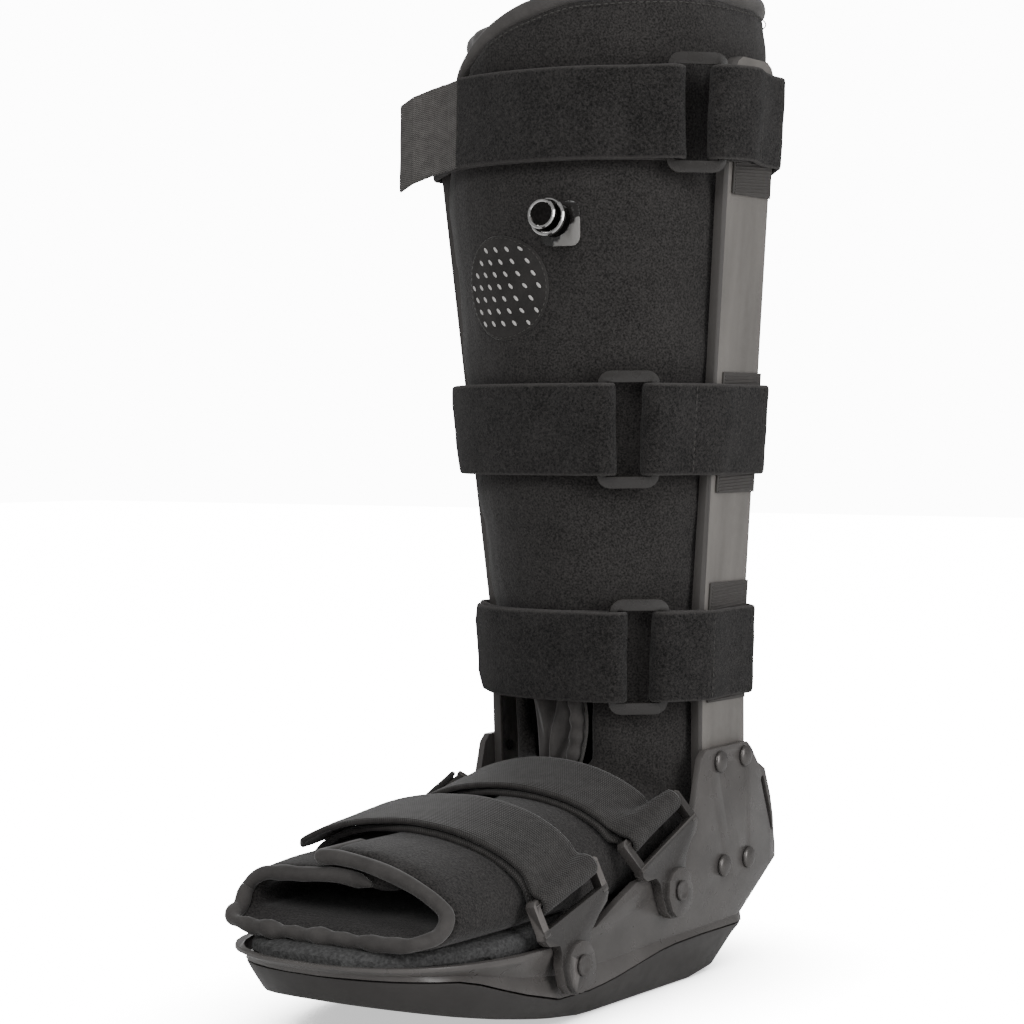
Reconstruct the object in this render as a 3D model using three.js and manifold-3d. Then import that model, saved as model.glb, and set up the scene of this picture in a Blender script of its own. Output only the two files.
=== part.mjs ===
// A tall walking boot for the lower leg, in millimetres: toe along -Y, +X the side plate seen in full, +Z up.
// Everything is first laid out about the leg's own axis with the ground at z = 0, then shifted at the end.
import * as THREE from "three";
import { mergeVertices } from "three/addons/utils/BufferGeometryUtils.js";
import Module from "manifold-3d";

const wasm = await Module();
wasm.setup();

const GAP = 0.3; // air between two pieces that rest on each other
const STRAP_WIDE = 38;
const TRAY_HALF = 57; // half of the moulded tray's width at its crease
const TRAY_WALL = 3;
const TRAY_TOE = -222;
const TRAY_HEEL = 62;
const PLATE_OUT = TRAY_HALF; // outer face of the upright side plates
const PLATE_IN = TRAY_HALF - TRAY_WALL - 0.4; // outer face of the uprights behind them
const PAD_LOW = 31.3;
const PAD_THICK = 8;
const LINER_LOW = PAD_LOW + PAD_THICK + GAP;
const LINER_WALL = 8; // padded leg
const FOOT_WALL = 6; // the thinner padding of the foot
const RIM_HIGH = 418;
const COLLAR_TALL = 8;
const CHANNEL_DEEP = 5.2;
const CHANNEL_WIDE = 38;
const CHANNEL_WALL = 2.2;

const COLOURS = {
  sole: ["#3f3c3a", 0.75, 0],
  tray: ["#4a4644", 0.4, 0],
  foam: ["#5b5856", 0.95, 0],
  liner: ["#2e2b2a", 0.95, 0],
  binding: ["#454140", 0.85, 0],
  upright: ["#6d6865", 0.5, 0],
  grip: ["#3b3836", 0.8, 0],
  rivet: ["#4d4a48", 0.35, 0],
  strap: ["#282524", 1.0, 0],
  webbing: ["#403c3b", 0.85, 0],
  ring: ["#312e2d", 0.35, 0],
  mesh: ["#77736f", 0.9, 0],
  clear: ["#8a8785", 0.2, 0],
  metal: ["#a9a7a6", 0.25, 1],
};

const boot = new THREE.Group();
boot.name = "walking_boot";

// Linear reading of one column of a table, its rows in rising order of the key column.
function read(rows, key, column, at) {
  if (at <= rows[0][key]) return rows[0][column];
  for (let i = 1; i < rows.length; i++) {
    if (at > rows[i][key]) continue;
    const share = (at - rows[i - 1][key]) / (rows[i][key] - rows[i - 1][key]);
    return rows[i - 1][column] + share * (rows[i][column] - rows[i - 1][column]);
  }
  return rows[rows.length - 1][column];
}

// Skin over equal rings of points. Each end is closed by a strip between point i and point N-1-i.
function loft(rings) {
  const count = rings[0].length;
  const index = [];
  for (let r = 0; r + 1 < rings.length; r++) {
    for (let i = 0; i < count; i++) {
      const j = (i + 1) % count;
      const a = r * count;
      const b = a + count;
      index.push(a + i, a + j, b + j, a + i, b + j, b + i);
    }
  }
  const cap = (start, flip) => {
    for (let i = 0; i + 1 < count / 2; i++) {
      const p = start + i;
      const q = start + i + 1;
      const u = start + count - 1 - i;
      const v = start + count - 2 - i;
      index.push(...(flip ? [p, v, q, p, u, v] : [p, q, v, p, v, u]));
    }
  };
  cap(0, true);
  cap((rings.length - 1) * count, false);
  const geometry = new THREE.BufferGeometry();
  const flat = rings.flat().flatMap((p) => [p.x, p.y, p.z]);
  geometry.setAttribute("position", new THREE.Float32BufferAttribute(flat, 3));
  geometry.setIndex(index);
  return solidOf(geometry);
}

// A manifold solid from any closed geometry, turned to face outwards.
function solidOf(source, matrix = new THREE.Matrix4()) {
  const plain = source.index ? source.toNonIndexed() : source;
  const bare = new THREE.BufferGeometry();
  bare.setAttribute("position", plain.getAttribute("position").clone());
  bare.applyMatrix4(matrix);
  const merged = mergeVertices(bare, 1e-3);
  const build = (triangles) =>
    new wasm.Manifold(
      new wasm.Mesh({
        numProp: 3,
        vertProperties: merged.attributes.position.array,
        triVerts: new Uint32Array(triangles),
      }),
    );
  const triangles = Array.from(merged.index.array);
  const made = build(triangles);
  if (made.volume() > 0) return made;
  for (let i = 0; i < triangles.length; i += 3) {
    [triangles[i + 1], triangles[i + 2]] = [triangles[i + 2], triangles[i + 1]];
  }
  return build(triangles);
}

// Adds one named piece to the boot.
function place(name, solid, look) {
  const mesh = solid.getMesh();
  const count = mesh.numProp;
  const points = new Float32Array((mesh.vertProperties.length / count) * 3);
  for (let i = 0; i < points.length / 3; i++) {
    for (let k = 0; k < 3; k++) points[3 * i + k] = mesh.vertProperties[count * i + k];
  }
  const indexed = new THREE.BufferGeometry();
  indexed.setAttribute("position", new THREE.BufferAttribute(points, 3));
  indexed.setIndex(Array.from(mesh.triVerts));
  const geometry = indexed.toNonIndexed();
  geometry.computeVertexNormals();
  const [color, roughness, metalness] = COLOURS[look];
  const piece = new THREE.Mesh(geometry, new THREE.MeshStandardMaterial({ color, roughness, metalness }));
  piece.name = name;
  boot.add(piece);
}

// A flat outline given as [across, up] pairs, made thick along its own normal and set in a frame.
function slab(outline, thick, frame, hole) {
  const shape = new THREE.Shape(outline.map(([a, b]) => new THREE.Vector2(a, b)));
  if (hole) shape.holes.push(new THREE.Path(hole.map(([a, b]) => new THREE.Vector2(a, b))));
  const geometry = new THREE.ExtrudeGeometry(shape, { depth: thick, bevelEnabled: false });
  geometry.translate(0, 0, -thick / 2);
  return solidOf(geometry, frame);
}

// A frame whose own x, y and z run along the three given directions.
function frameAt(origin, along, up, out) {
  return new THREE.Matrix4().makeBasis(along, up, out).setPosition(origin);
}

const V = (x, y, z) => new THREE.Vector3(x, y, z);

// A frame on one side of the boot: its x runs to the heel, its y up, its z out of the side.
function sideFrame(side, x, y, z, slope = 0) {
  const along = V(0, Math.cos(slope), Math.sin(slope));
  const up = V(0, -Math.sin(slope), Math.cos(slope));
  return frameAt(V(side * x, y, z), along, up, V(side, 0, 0));
}

const mirrored = (solid) => solid.mirror([1, 0, 0]);
const flat = (z) => () => z;

// The sole and the moulded tray are lofts over plan outlines: a rounded toe, straight sides and a blunt heel.
const TOE_DEEP = 68;
const HEEL_DEEP = 42;
const TOE_POWER = 2.45;
const HEEL_POWER = 4;

// Heights along the boot, from toe to heel.
const SOLE_RUN = [
  { y: -222, bottom: 22.5, parting: 31.6, ledge: 33, crease: 34.8 },
  { y: -182, bottom: 13.5, parting: 28, ledge: 30, crease: 32.8 },
  { y: -155, bottom: 8, parting: 19.1, ledge: 24.5, crease: 31 },
  { y: -127, bottom: 3, parting: 12, ledge: 20.5, crease: 31 },
  { y: -102, bottom: 0, parting: 11.6, ledge: 20, crease: 32.5 },
  { y: -83, bottom: 0, parting: 13.7, ledge: 20.2, crease: 33 },
  { y: -46, bottom: 0, parting: 19.2, ledge: 21.6, crease: 35 },
  { y: -18, bottom: 0, parting: 20, ledge: 21.8, crease: 37.6 },
  { y: -4, bottom: 0, parting: 20, ledge: 22, crease: 38.8 },
  { y: 8, bottom: 5, parting: 20, ledge: 22.2, crease: 39.8 },
  { y: 20, bottom: 11, parting: 19.5, ledge: 22.2, crease: 41 },
  { y: 46, bottom: 14, parting: 19, ledge: 22, crease: 43.9 },
  { y: 62, bottom: 14, parting: 19, ledge: 22, crease: 45.2 },
];

// One plan ring of the sole or tray, drawn in from the tray's side, toe tip and heel end.
function planRing(inset, toeInset, heelInset, heightAt) {
  const half = TRAY_HALF - inset;
  const side = [];
  const toeEnd = TRAY_TOE + toeInset + TOE_DEEP;
  const heelStart = TRAY_HEEL - heelInset - HEEL_DEEP;
  for (let i = 0; i < 9; i++) {
    const turn = (((i + 0.6) / 9.6) * Math.PI) / 2;
    side.push([half * Math.sin(turn) ** (2 / TOE_POWER), toeEnd - TOE_DEEP * Math.cos(turn) ** (2 / TOE_POWER)]);
  }
  for (let i = 0; i <= 13; i++) side.push([half, toeEnd + ((heelStart - toeEnd) * i) / 13]);
  for (let i = 1; i <= 7; i++) {
    const turn = ((i / 7.5) * Math.PI) / 2;
    side.push([
      half * Math.cos(turn) ** (2 / HEEL_POWER),
      heelStart + HEEL_DEEP * Math.sin(turn) ** (2 / HEEL_POWER),
    ]);
  }
  const right = side.map(([x, y]) => V(x, y, heightAt(y)));
  const left = side.map(([x, y]) => V(-x, y, heightAt(y))).reverse();
  return [...right, ...left];
}

const runOf = (column, shift = 0) => (y) => read(SOLE_RUN, "y", column, y) + shift;

// The rubber outsole: flat under the foot, rocking up at the toe and bevelled at the heel.
function outsole() {
  const middle = (y) => 0.45 * runOf("bottom")(y) + 0.55 * runOf("parting")(y);
  return loft([
    planRing(8.5, 11, 38, runOf("bottom")),
    planRing(4.2, 7.5, 31, middle),
    planRing(2, 5, 27, runOf("parting", -GAP - 0.2)),
  ]);
}

// Top edge of the tray and its side plate seen from the side, from the toe lip back to the heel.
const WALL_TOP = [
  { y: TRAY_TOE - 18, z: 36.5 },
  { y: TRAY_TOE, z: 36 },
  { y: -183, z: 34.8 },
  { y: -155, z: 33.6 },
  { y: -137, z: 33.4 },
  { y: -118, z: 34 },
  { y: -104, z: 36.6 },
  { y: -87, z: 44.4 },
  { y: -74, z: 49.6 },
  { y: -69, z: 50.2 },
  { y: -50, z: 52 },
  { y: -37, z: 60 },
  { y: -27, z: 76 },
  { y: -22, z: 94 },
  { y: -18.5, z: 97.4 },
  { y: 17, z: 98 },
  { y: 21, z: 95 },
  { y: 27, z: 88 },
  { y: 33.7, z: 84.6 },
  { y: 43.6, z: 62 },
  { y: 44.8, z: 55 },
  { y: 48, z: 46 },
  { y: 54, z: 45.6 },
  { y: TRAY_HEEL + 18, z: 45.6 },
];
const TRAY_SKY = 110; // the tray's walls are lofted to here, then cut to their outline

const RIVETS = [
  { name: "upper_front", y: -6.8, z: 91.7 },
  { name: "upper_rear", y: 14.5, z: 92.2 },
  { name: "lower_front", y: -3.9, z: 47 },
  { name: "lower_rear", y: 17.3, z: 47.8 },
];
const RIVET_HEAD = 4.6;
const RIVET_SHANK = 2.1;
const RIVET_HOLE = RIVET_SHANK + GAP;

// A straight round pin across the boot's side, from one depth to another.
function pin(side, radius, y, z, from, to, sides = 12) {
  const geometry = new THREE.CylinderGeometry(radius, radius, to - from, sides);
  geometry.rotateZ(Math.PI / 2);
  geometry.translate(side * (from + to) * 0.5, y, z);
  return solidOf(geometry);
}

// A narrow slot with round ends in the rear edge of each side plate.
function plateSlots() {
  const outline = [];
  for (let i = 0; i <= 6; i++) outline.push([1.5 * Math.cos((i * Math.PI) / 6), 12 + 1.5 * Math.sin((i * Math.PI) / 6)]);
  for (let i = 0; i <= 6; i++) outline.push([-1.5 * Math.cos((i * Math.PI) / 6), -12 - 1.5 * Math.sin((i * Math.PI) / 6)]);
  return slab(outline, 4 * TRAY_HALF, sideFrame(1, 0, 36, 69, 0.4));
}

function tray() {
  const shell = loft([
    planRing(2, 5, 27, runOf("parting")),
    planRing(4.5, 4, 24, runOf("ledge")),
    planRing(0, 0.5, 0, runOf("crease")),
    planRing(0, 0, 0, flat(TRAY_SKY)),
    planRing(TRAY_WALL, TRAY_WALL, TRAY_WALL, flat(TRAY_SKY)),
    planRing(TRAY_WALL, TRAY_WALL, TRAY_WALL, runOf("crease", 0.6)),
    planRing(TRAY_WALL + 1.5, TRAY_WALL + 1.5, TRAY_WALL + 11, flat(PAD_LOW - GAP)),
  ]);
  const edge = WALL_TOP.map(({ y, z }) => [y, z]);
  const sky = [...edge, [TRAY_HEEL + 18, TRAY_SKY + 5], [TRAY_TOE - 18, TRAY_SKY + 5]];
  let cut = shell.subtract(slab(sky, 4 * TRAY_HALF, sideFrame(1, 0, 0, 0))).subtract(plateSlots());
  for (const side of [-1, 1]) {
    for (const { y, z } of RIVETS) cut = cut.subtract(pin(side, RIVET_HOLE, y, z, TRAY_HALF - TRAY_WALL - 2, TRAY_HALF + 2));
    for (const { y, z } of BRACKETS) cut = cut.subtract(pin(side, RIVET_HOLE, y, z, TRAY_HALF - TRAY_WALL - 6, TRAY_HALF + 2));
  }
  return cut;
}

// The foam pad lying in the tray.
function foamPad() {
  return loft([
    planRing(TRAY_WALL + 2, TRAY_WALL + 2.2, TRAY_WALL + 16, flat(PAD_LOW)),
    planRing(TRAY_WALL + 1.6, TRAY_WALL + 1.8, TRAY_WALL + 15, flat(PAD_LOW + 0.6 * PAD_THICK)),
    planRing(TRAY_WALL + 2.8, TRAY_WALL + 3, TRAY_WALL + 16, flat(PAD_LOW + PAD_THICK)),
  ]);
}

// The uprights: shallow channels riveted inside the side plates, straight at first, then spreading with
// the calf. mid is the middle of their width along the boot.
const UPRIGHT = [
  { z: 41.5, spread: 0, mid: 3.5, wide: 1 },
  { z: 103, spread: 0, mid: 1.7, wide: 1 },
  { z: 150, spread: 1, mid: 0.6, wide: 1 },
  { z: 207, spread: 6.6, mid: -2.3, wide: 1 },
  { z: 256, spread: 11.1, mid: -4.4, wide: 1 },
  { z: 325, spread: 17.8, mid: -9.6, wide: 1 },
  { z: 374, spread: 22.4, mid: -12.4, wide: 1 },
  { z: 380, spread: 22.9, mid: -12.7, wide: 0.95 },
  { z: 384, spread: 23.2, mid: -12.9, wide: 0.82 },
  { z: 386, spread: 23.4, mid: -13, wide: 0.62 },
];
const channelAt = (z) => ({
  out: PLATE_IN + read(UPRIGHT, "z", "spread", z),
  mid: read(UPRIGHT, "z", "mid", z),
  wide: (read(UPRIGHT, "z", "wide", z) * CHANNEL_WIDE) / 2,
});

function upright() {
  const rings = UPRIGHT.map(({ z }) => {
    const { out, mid, wide } = channelAt(z);
    const back = out - CHANNEL_DEEP;
    const inner = wide - CHANNEL_WALL;
    const skin = [
      [back, -wide],
      [out - 1.6, -wide],
      [out, -wide + 1.6],
      [out, wide - 1.6],
      [out - 1.6, wide],
      [back, wide],
    ];
    const hollow = [
      [back, inner],
      [out - CHANNEL_WALL - 0.7, inner],
      [out - CHANNEL_WALL, inner - 0.7],
      [out - CHANNEL_WALL, -inner + 0.7],
      [out - CHANNEL_WALL - 0.7, -inner],
      [back, -inner],
    ];
    return [...skin, ...hollow].map(([x, y]) => V(x, y + mid, z));
  });
  let strip = loft(rings);
  for (const { y, z } of RIVETS) strip = strip.subtract(pin(1, RIVET_HOLE, y, z, PLATE_IN - 14, PLATE_IN + 6));
  return strip;
}

// Ribbed grip patches on the uprights, one behind each strap.
const GRIP_THICK = 0.9;
const GRIPS = [
  { name: "top", low: 330, high: 374 },
  { name: "middle", low: 206, high: 256.6 },
  { name: "low", low: 117, high: 168 },
];

function gripPatch({ low, high }) {
  const heights = [low, ...UPRIGHT.map(({ z }) => z).filter((z) => z > low + 1 && z < high - 1), high];
  return loft(
    heights.map((z) => {
      const { out, mid, wide } = channelAt(z);
      const near = out + GAP * 0.7;
      const far = near + GRIP_THICK;
      const front = mid - wide + 4.5;
      const rear = mid + wide - 1.8;
      return [V(near, front, z), V(far, front, z), V(far, rear, z), V(near, rear, z)];
    }),
  );
}

// The leg of the liner in plan, row by row: how far its side lies in from the tray's, and the foremost and
// rearmost point of its outer face.
const LEG = [
  { z: LINER_LOW, inset: 14, front: -40, back: 42 },
  { z: LINER_LOW + 8, inset: 10.6, front: -44, back: 48.5 },
  { z: 60, inset: 9.6, front: -46, back: 51 },
  { z: 112, inset: 9.4, front: -50, back: 53 },
  { z: 166, inset: 7.2, front: -56, back: 57 },
  { z: 207, inset: 2.8, front: -63, back: 58.5 },
  { z: 256, inset: -1.8, front: -67, back: 60 },
  { z: 325, inset: -8.3, front: -73, back: 61 },
  { z: 372, inset: -9.2, front: -72, back: 60.5 },
  { z: 419, inset: -8.4, front: -69, back: 59 },
];
const LEG_POWER = 2.25;

// Point on the leg's outer face at an angle from the front towards +X, sunk by a depth.
function legPoint(angle, depth, z) {
  const half = TRAY_HALF - read(LEG, "z", "inset", z);
  const front = read(LEG, "z", "front", z);
  const back = read(LEG, "z", "back", z);
  const deep = (back - front) / 2;
  const turn = (angle * Math.PI) / 180;
  const sx = Math.sin(turn);
  const sy = -Math.cos(turn);
  const x = Math.sign(sx) * Math.abs(sx) ** (2 / LEG_POWER);
  const y = Math.sign(sy) * Math.abs(sy) ** (2 / LEG_POWER);
  const nx = (Math.sign(x) * Math.abs(x) ** (LEG_POWER - 1)) / half;
  const ny = (Math.sign(y) * Math.abs(y) ** (LEG_POWER - 1)) / deep;
  const size = Math.hypot(nx, ny);
  return V(half * x - (depth * nx) / size, (front + back) / 2 + deep * y - (depth * ny) / size, z);
}

// The foot of the liner in upright sections, toe to ankle: how far its side lies in from the tray's, top of
// its outer face, sideways shift of its peak, and how full its upper arc is.
const FOOT = [
  { y: -187, inset: 5.6, top: 73, peak: -6, power: 1.72 },
  { y: -170, inset: 5.4, top: 73.3, peak: -5, power: 1.86 },
  { y: -150, inset: 5.8, top: 73.5, peak: -3, power: 2.02 },
  { y: -130, inset: 6.6, top: 76.5, peak: -2, power: 2.1 },
  { y: -112, inset: 7, top: 79.5, peak: -1, power: 2.15 },
  { y: -84, inset: 7.8, top: 80.2, peak: 0, power: 2.15 },
  { y: -66, inset: 8.6, top: 84, peak: 0, power: 2.15 },
  { y: -50, inset: 9.2, top: 88, peak: 0, power: 2.15 },
  { y: -36, inset: 9.6, top: 89.4, peak: 0, power: 2.15 },
  { y: -20, inset: 10, top: 89.6, peak: 0, power: 2.15 },
  { y: 4, inset: 11, top: 88, peak: 0, power: 2.15 },
];
const SOLE_POWER = 4.4; // fullness of the foot's lower arc
const FOOT_WIDEST = 0.38; // share of the height at which the foot is widest

// Point on the foot's outer face at an angle from the top towards +X, sunk by a depth.
function footPoint(angle, depth, y) {
  const half = TRAY_HALF - read(FOOT, "y", "inset", y);
  const whole = read(FOOT, "y", "top", y) - LINER_LOW;
  const turn = (angle * Math.PI) / 180;
  const sx = Math.sin(turn);
  const sz = Math.cos(turn);
  const over = sz > 0;
  const power = over ? read(FOOT, "y", "power", y) : SOLE_POWER;
  const tall = whole * (over ? 1 - FOOT_WIDEST : FOOT_WIDEST);
  const x = Math.sign(sx) * Math.abs(sx) ** (2 / power);
  const z = Math.sign(sz) * Math.abs(sz) ** (2 / power);
  const nx = (Math.sign(x) * Math.abs(x) ** (power - 1)) / half;
  const nz = (Math.sign(z) * Math.abs(z) ** (power - 1)) / tall;
  const size = Math.hypot(nx, nz);
  const shift = over ? read(FOOT, "y", "peak", y) * z : 0;
  return V(
    half * x + shift - (depth * nx) / size,
    y,
    LINER_LOW + whole * FOOT_WIDEST + tall * z - (depth * nz) / size,
  );
}

// The liner is one padded sheet wrapped round: its outer edge laps over its inner edge at the front.
const LAP = { outer: -50, inner: 392, sinkFrom: 275, sinkTo: 308 };
const FOOT_LAP = { outer: -6, inner: 392, sinkFrom: 295, sinkTo: 346 };
const LAP_AIR = 0.8;

// How far the sheet has sunk below the outer face at an angle, so that it passes under its own outer edge.
function sinkAt(lap, angle, wall) {
  const share = Math.min(1, Math.max(0, (angle - lap.sinkFrom) / (lap.sinkTo - lap.sinkFrom)));
  return share * share * (3 - 2 * share) * (wall + LAP_AIR);
}

// Section of the wrapped sheet: out along its face, back along its lining.
function wrapRing(point, lap, wall, steps) {
  const face = [];
  const lining = [];
  for (let i = 0; i <= steps; i++) {
    const angle = lap.outer + ((lap.inner - lap.outer) * i) / steps;
    const sink = sinkAt(lap, angle, wall);
    face.push(point(angle, sink));
    lining.push(point(angle, sink + wall));
  }
  return [...face, ...lining.reverse()];
}

// The free space inside the wrapped sheet.
function hollowRing(point, lap, wall, steps) {
  const ring = [];
  for (let i = 0; i < steps; i++) {
    const angle = lap.inner - 360 + (360 * (i + 0.5)) / steps;
    ring.push(point(angle, sinkAt(lap, angle < lap.outer ? angle + 360 : angle, wall) + wall));
  }
  return ring;
}

// Height of the rim at an angle: level round the back, falling away towards the outer edge at the front.
function rimAt(angle) {
  if (angle < 60) return RIM_HIGH - 4 * Math.sin(((60 - angle) * Math.PI) / 220) - 38 * Math.max(0, (20 - angle) / 70) ** 1.7;
  return RIM_HIGH - 13 * Math.min(1, Math.max(0, (angle - 180) / 90));
}

const LEG_STEPS = 38;
const FOOT_STEPS = 34;

// Rings of the leg from its foot up, the uppermost following the rim just under the collar.
function legRings() {
  const ringOf = (point) => wrapRing(point, LAP, LINER_WALL, LEG_STEPS);
  const rows = LEG.map(({ z }) => z).filter((z) => z < RIM_HIGH - 48);
  const rings = rows.map((z) => ringOf((angle, depth) => legPoint(angle, depth, z)));
  return [...rings, ringOf((angle, depth) => legPoint(angle, depth, rimAt(angle) - COLLAR_TALL - GAP))];
}

function liner() {
  const legWall = loft(legRings());
  const legSpace = loft([
    ...LEG.map(({ z }) => z)
      .filter((z) => z > LINER_LOW + 7)
      .map((z) => hollowRing((a, d) => legPoint(a, d, z), LAP, LINER_WALL, 40)),
    hollowRing((a, d) => legPoint(a, d, RIM_HIGH + 12), LAP, LINER_WALL, 40),
  ]);
  const footRows = FOOT.map(({ y }) => y);
  const footWall = loft(footRows.map((y) => wrapRing((a, d) => footPoint(a, d, y), FOOT_LAP, FOOT_WALL, FOOT_STEPS)));
  const footSpace = loft(
    [-200, ...footRows].map((y) => hollowRing((a, d) => footPoint(a, d, y), FOOT_LAP, FOOT_WALL, 32)),
  );
  const heelFloor = loft(
    [LINER_LOW, LINER_LOW + FOOT_WALL].map((z) => {
      const ring = [];
      for (let i = 0; i < 32; i++) ring.push(legPoint(((i + 0.5) / 32) * 360, 1, z));
      return ring;
    }),
  );
  const walls = legWall.subtract(footSpace).add(footWall.subtract(legSpace)).add(heelFloor.subtract(footSpace));
  return walls.subtract(ankleOpening());
}

// The opening left at the front of the ankle, above the instep.
const ANKLE = { from: -64, to: 20, low: 89, high: 125, inner: 22, outer: TRAY_HALF + 19 };

function ankleOpening() {
  const outline = [];
  for (let i = 0; i <= 6; i++) {
    const turn = ((ANKLE.from + ((ANKLE.to - ANKLE.from) * i) / 6) * Math.PI) / 180;
    outline.push([ANKLE.outer * Math.sin(turn), -ANKLE.outer * Math.cos(turn)]);
  }
  outline.push([ANKLE.inner * 0.2, -ANKLE.inner * 0.6], [-ANKLE.inner, -ANKLE.inner * 0.45]);
  const middle = (ANKLE.low + ANKLE.high) / 2;
  const frame = frameAt(V(0, 0, middle), V(1, 0, 0), V(0, 1, 0), V(0, 0, 1));
  return slab(outline, ANKLE.high - ANKLE.low, frame);
}

// The folded gusset standing in the right half of that opening.
function ankleGusset() {
  const rows = [0.5, 0.2, 0, 0.2, 0.5];
  const rings = rows.map((pinch, k) => {
    const z = ANKLE.low + GAP + ((ANKLE.high - ANKLE.low - 2 * GAP) * k) / (rows.length - 1);
    const face = [];
    const lining = [];
    for (let i = 0; i <= 6; i++) {
      const share = i / 6;
      const angle = -13 + 28 * share;
      const swell = Math.sin(share * Math.PI) ** 0.6;
      face.push(legPoint(angle, 4 + 4 * pinch - 3.2 * swell, z));
      lining.push(legPoint(angle, 8 - 2 * pinch + 2.4 * swell, z));
    }
    return [...face, ...lining.reverse()];
  });
  return loft(rings);
}

const COLLAR_LAP = { ...LAP, outer: LAP.outer + 1 };

// The smooth collar band that finishes the top edge of the liner.
function collar() {
  const drops = [
    { drop: COLLAR_TALL, swell: 0 },
    { drop: COLLAR_TALL * 0.4, swell: 0.5 },
    { drop: COLLAR_TALL * 0.1, swell: -0.8 },
    { drop: 0, swell: -3.2 },
  ];
  return loft(
    drops.map(({ drop, swell }) =>
      wrapRing((a, d) => legPoint(a, d, rimAt(a) - drop), COLLAR_LAP, LINER_WALL, LEG_STEPS).map((p, i, ring) =>
        p.clone().lerp(ring[ring.length - 1 - i], -swell / LINER_WALL / 2),
      ),
    ),
  );
}

// The tube of binding rolled round the toe opening and up the edge of the outer flap.
const BINDING = 2.9;
const LIP_FORWARD = 15; // how far the lower lip of the toe opening stands before the upper one
const LIP_SPREAD = 1.15;

function toeBinding() {
  const y = FOOT[0].y;
  const middle = FOOT_WALL / 2;
  const path = [
    footPoint(FOOT_LAP.outer - 5.5, middle, y + 30),
    footPoint(FOOT_LAP.outer - 5.5, middle, y + 14),
    footPoint(FOOT_LAP.outer - 5.5, middle, y + 1),
    footPoint(FOOT_LAP.outer - 2.5, middle, y - BINDING - 1),
  ];
  const first = FOOT_LAP.outer + 8;
  const last = FOOT_LAP.inner - 6;
  const steps = 30;
  for (let i = 0; i <= steps; i++) {
    const angle = first + ((last - first) * i) / steps;
    const under = Math.min(1, Math.max(0, (0.3 - Math.cos((angle * Math.PI) / 180)) / LIP_SPREAD));
    const sink = sinkAt(FOOT_LAP, angle, FOOT_WALL);
    const forward = LIP_FORWARD * under * under * (3 - 2 * under);
    path.push(footPoint(angle, sink + middle, y).add(V(0, -BINDING - GAP - forward, 0)));
  }
  return tube(path, BINDING, 8, 60);
}

// A round tube along a smooth path.
function tube(points, radius, sides, steps) {
  const shape = new THREE.Shape();
  for (let i = 0; i < sides; i++) {
    const turn = (i / sides) * 2 * Math.PI;
    const x = radius * Math.cos(turn);
    const y = radius * Math.sin(turn);
    if (i) shape.lineTo(x, y);
    else shape.moveTo(x, y);
  }
  const curve = new THREE.CatmullRomCurve3(points, false, "centripetal");
  return solidOf(new THREE.ExtrudeGeometry(shape, { steps, bevelEnabled: false, extrudePath: curve }));
}

// The tight band line that a strap follows in plan: round the liner and over both uprights.
const bandCache = new Map();

function bandAt(z) {
  const key = Math.round(z * 4) / 4;
  if (bandCache.has(key)) return bandCache.get(key);
  const points = [];
  for (let i = 0; i < 90; i++) points.push(legPoint(i * 4, 0, key));
  const { out, mid } = channelAt(key);
  const wide = CHANNEL_WIDE / 2;
  const reach = out + 2 * GAP + GRIP_THICK;
  for (const side of [-1, 1]) {
    for (const end of [-1, 1]) points.push(V(side * reach, mid + end * (wide - 0.6), key));
  }
  points.sort((p, q) => p.x - q.x || p.y - q.y);
  const turn = (o, p, q) => (p.x - o.x) * (q.y - o.y) - (p.y - o.y) * (q.x - o.x);
  const half = (list) => {
    const chain = [];
    for (const p of list) {
      while (chain.length > 1 && turn(chain[chain.length - 2], chain[chain.length - 1], p) <= 0) chain.pop();
      chain.push(p);
    }
    chain.pop();
    return chain;
  };
  const hull = [...half(points), ...half([...points].reverse())];
  bandCache.set(key, hull);
  return hull;
}

// Distance from the leg's axis to the band line at an angle.
function bandReach(angle, z) {
  const turn = (angle * Math.PI) / 180;
  const dx = Math.sin(turn);
  const dy = -Math.cos(turn);
  const hull = bandAt(z);
  for (let i = 0; i < hull.length; i++) {
    const p = hull[i];
    const q = hull[(i + 1) % hull.length];
    const ex = q.x - p.x;
    const ey = q.y - p.y;
    const cross = dx * ey - dy * ex;
    if (Math.abs(cross) < 1e-9) continue;
    const reach = (p.x * ey - p.y * ex) / cross;
    const share = (p.x * dy - p.y * dx) / cross;
    if (reach > 0 && share >= -1e-9 && share <= 1 + 1e-9) return reach;
  }
  return 70;
}

// Angles of the uprights' corners, where the band line turns sharply.
function bandCorners(z) {
  const { out, mid } = channelAt(z);
  const angles = [];
  for (const side of [-1, 1]) {
    for (const end of [-1, 1]) {
      const turn = Math.atan2(side * (out + 1), -(mid + (end * CHANNEL_WIDE) / 2));
      angles.push(((turn * 180) / Math.PI + 360) % 360);
    }
  }
  return angles;
}

// Point on the band line at an angle, lifted off it by a distance and slid along it by another.
function bandPoint(angle, lift, z, slide = 0) {
  const at = (a) => {
    const turn = (a * Math.PI) / 180;
    const reach = bandReach(a, z);
    return V(reach * Math.sin(turn), -reach * Math.cos(turn), z);
  };
  const here = at(angle);
  const along = at(angle + 3).sub(at(angle - 3)).normalize();
  return here.add(V(along.y, -along.x, 0).multiplyScalar(lift)).addScaledVector(along, slide);
}

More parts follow.
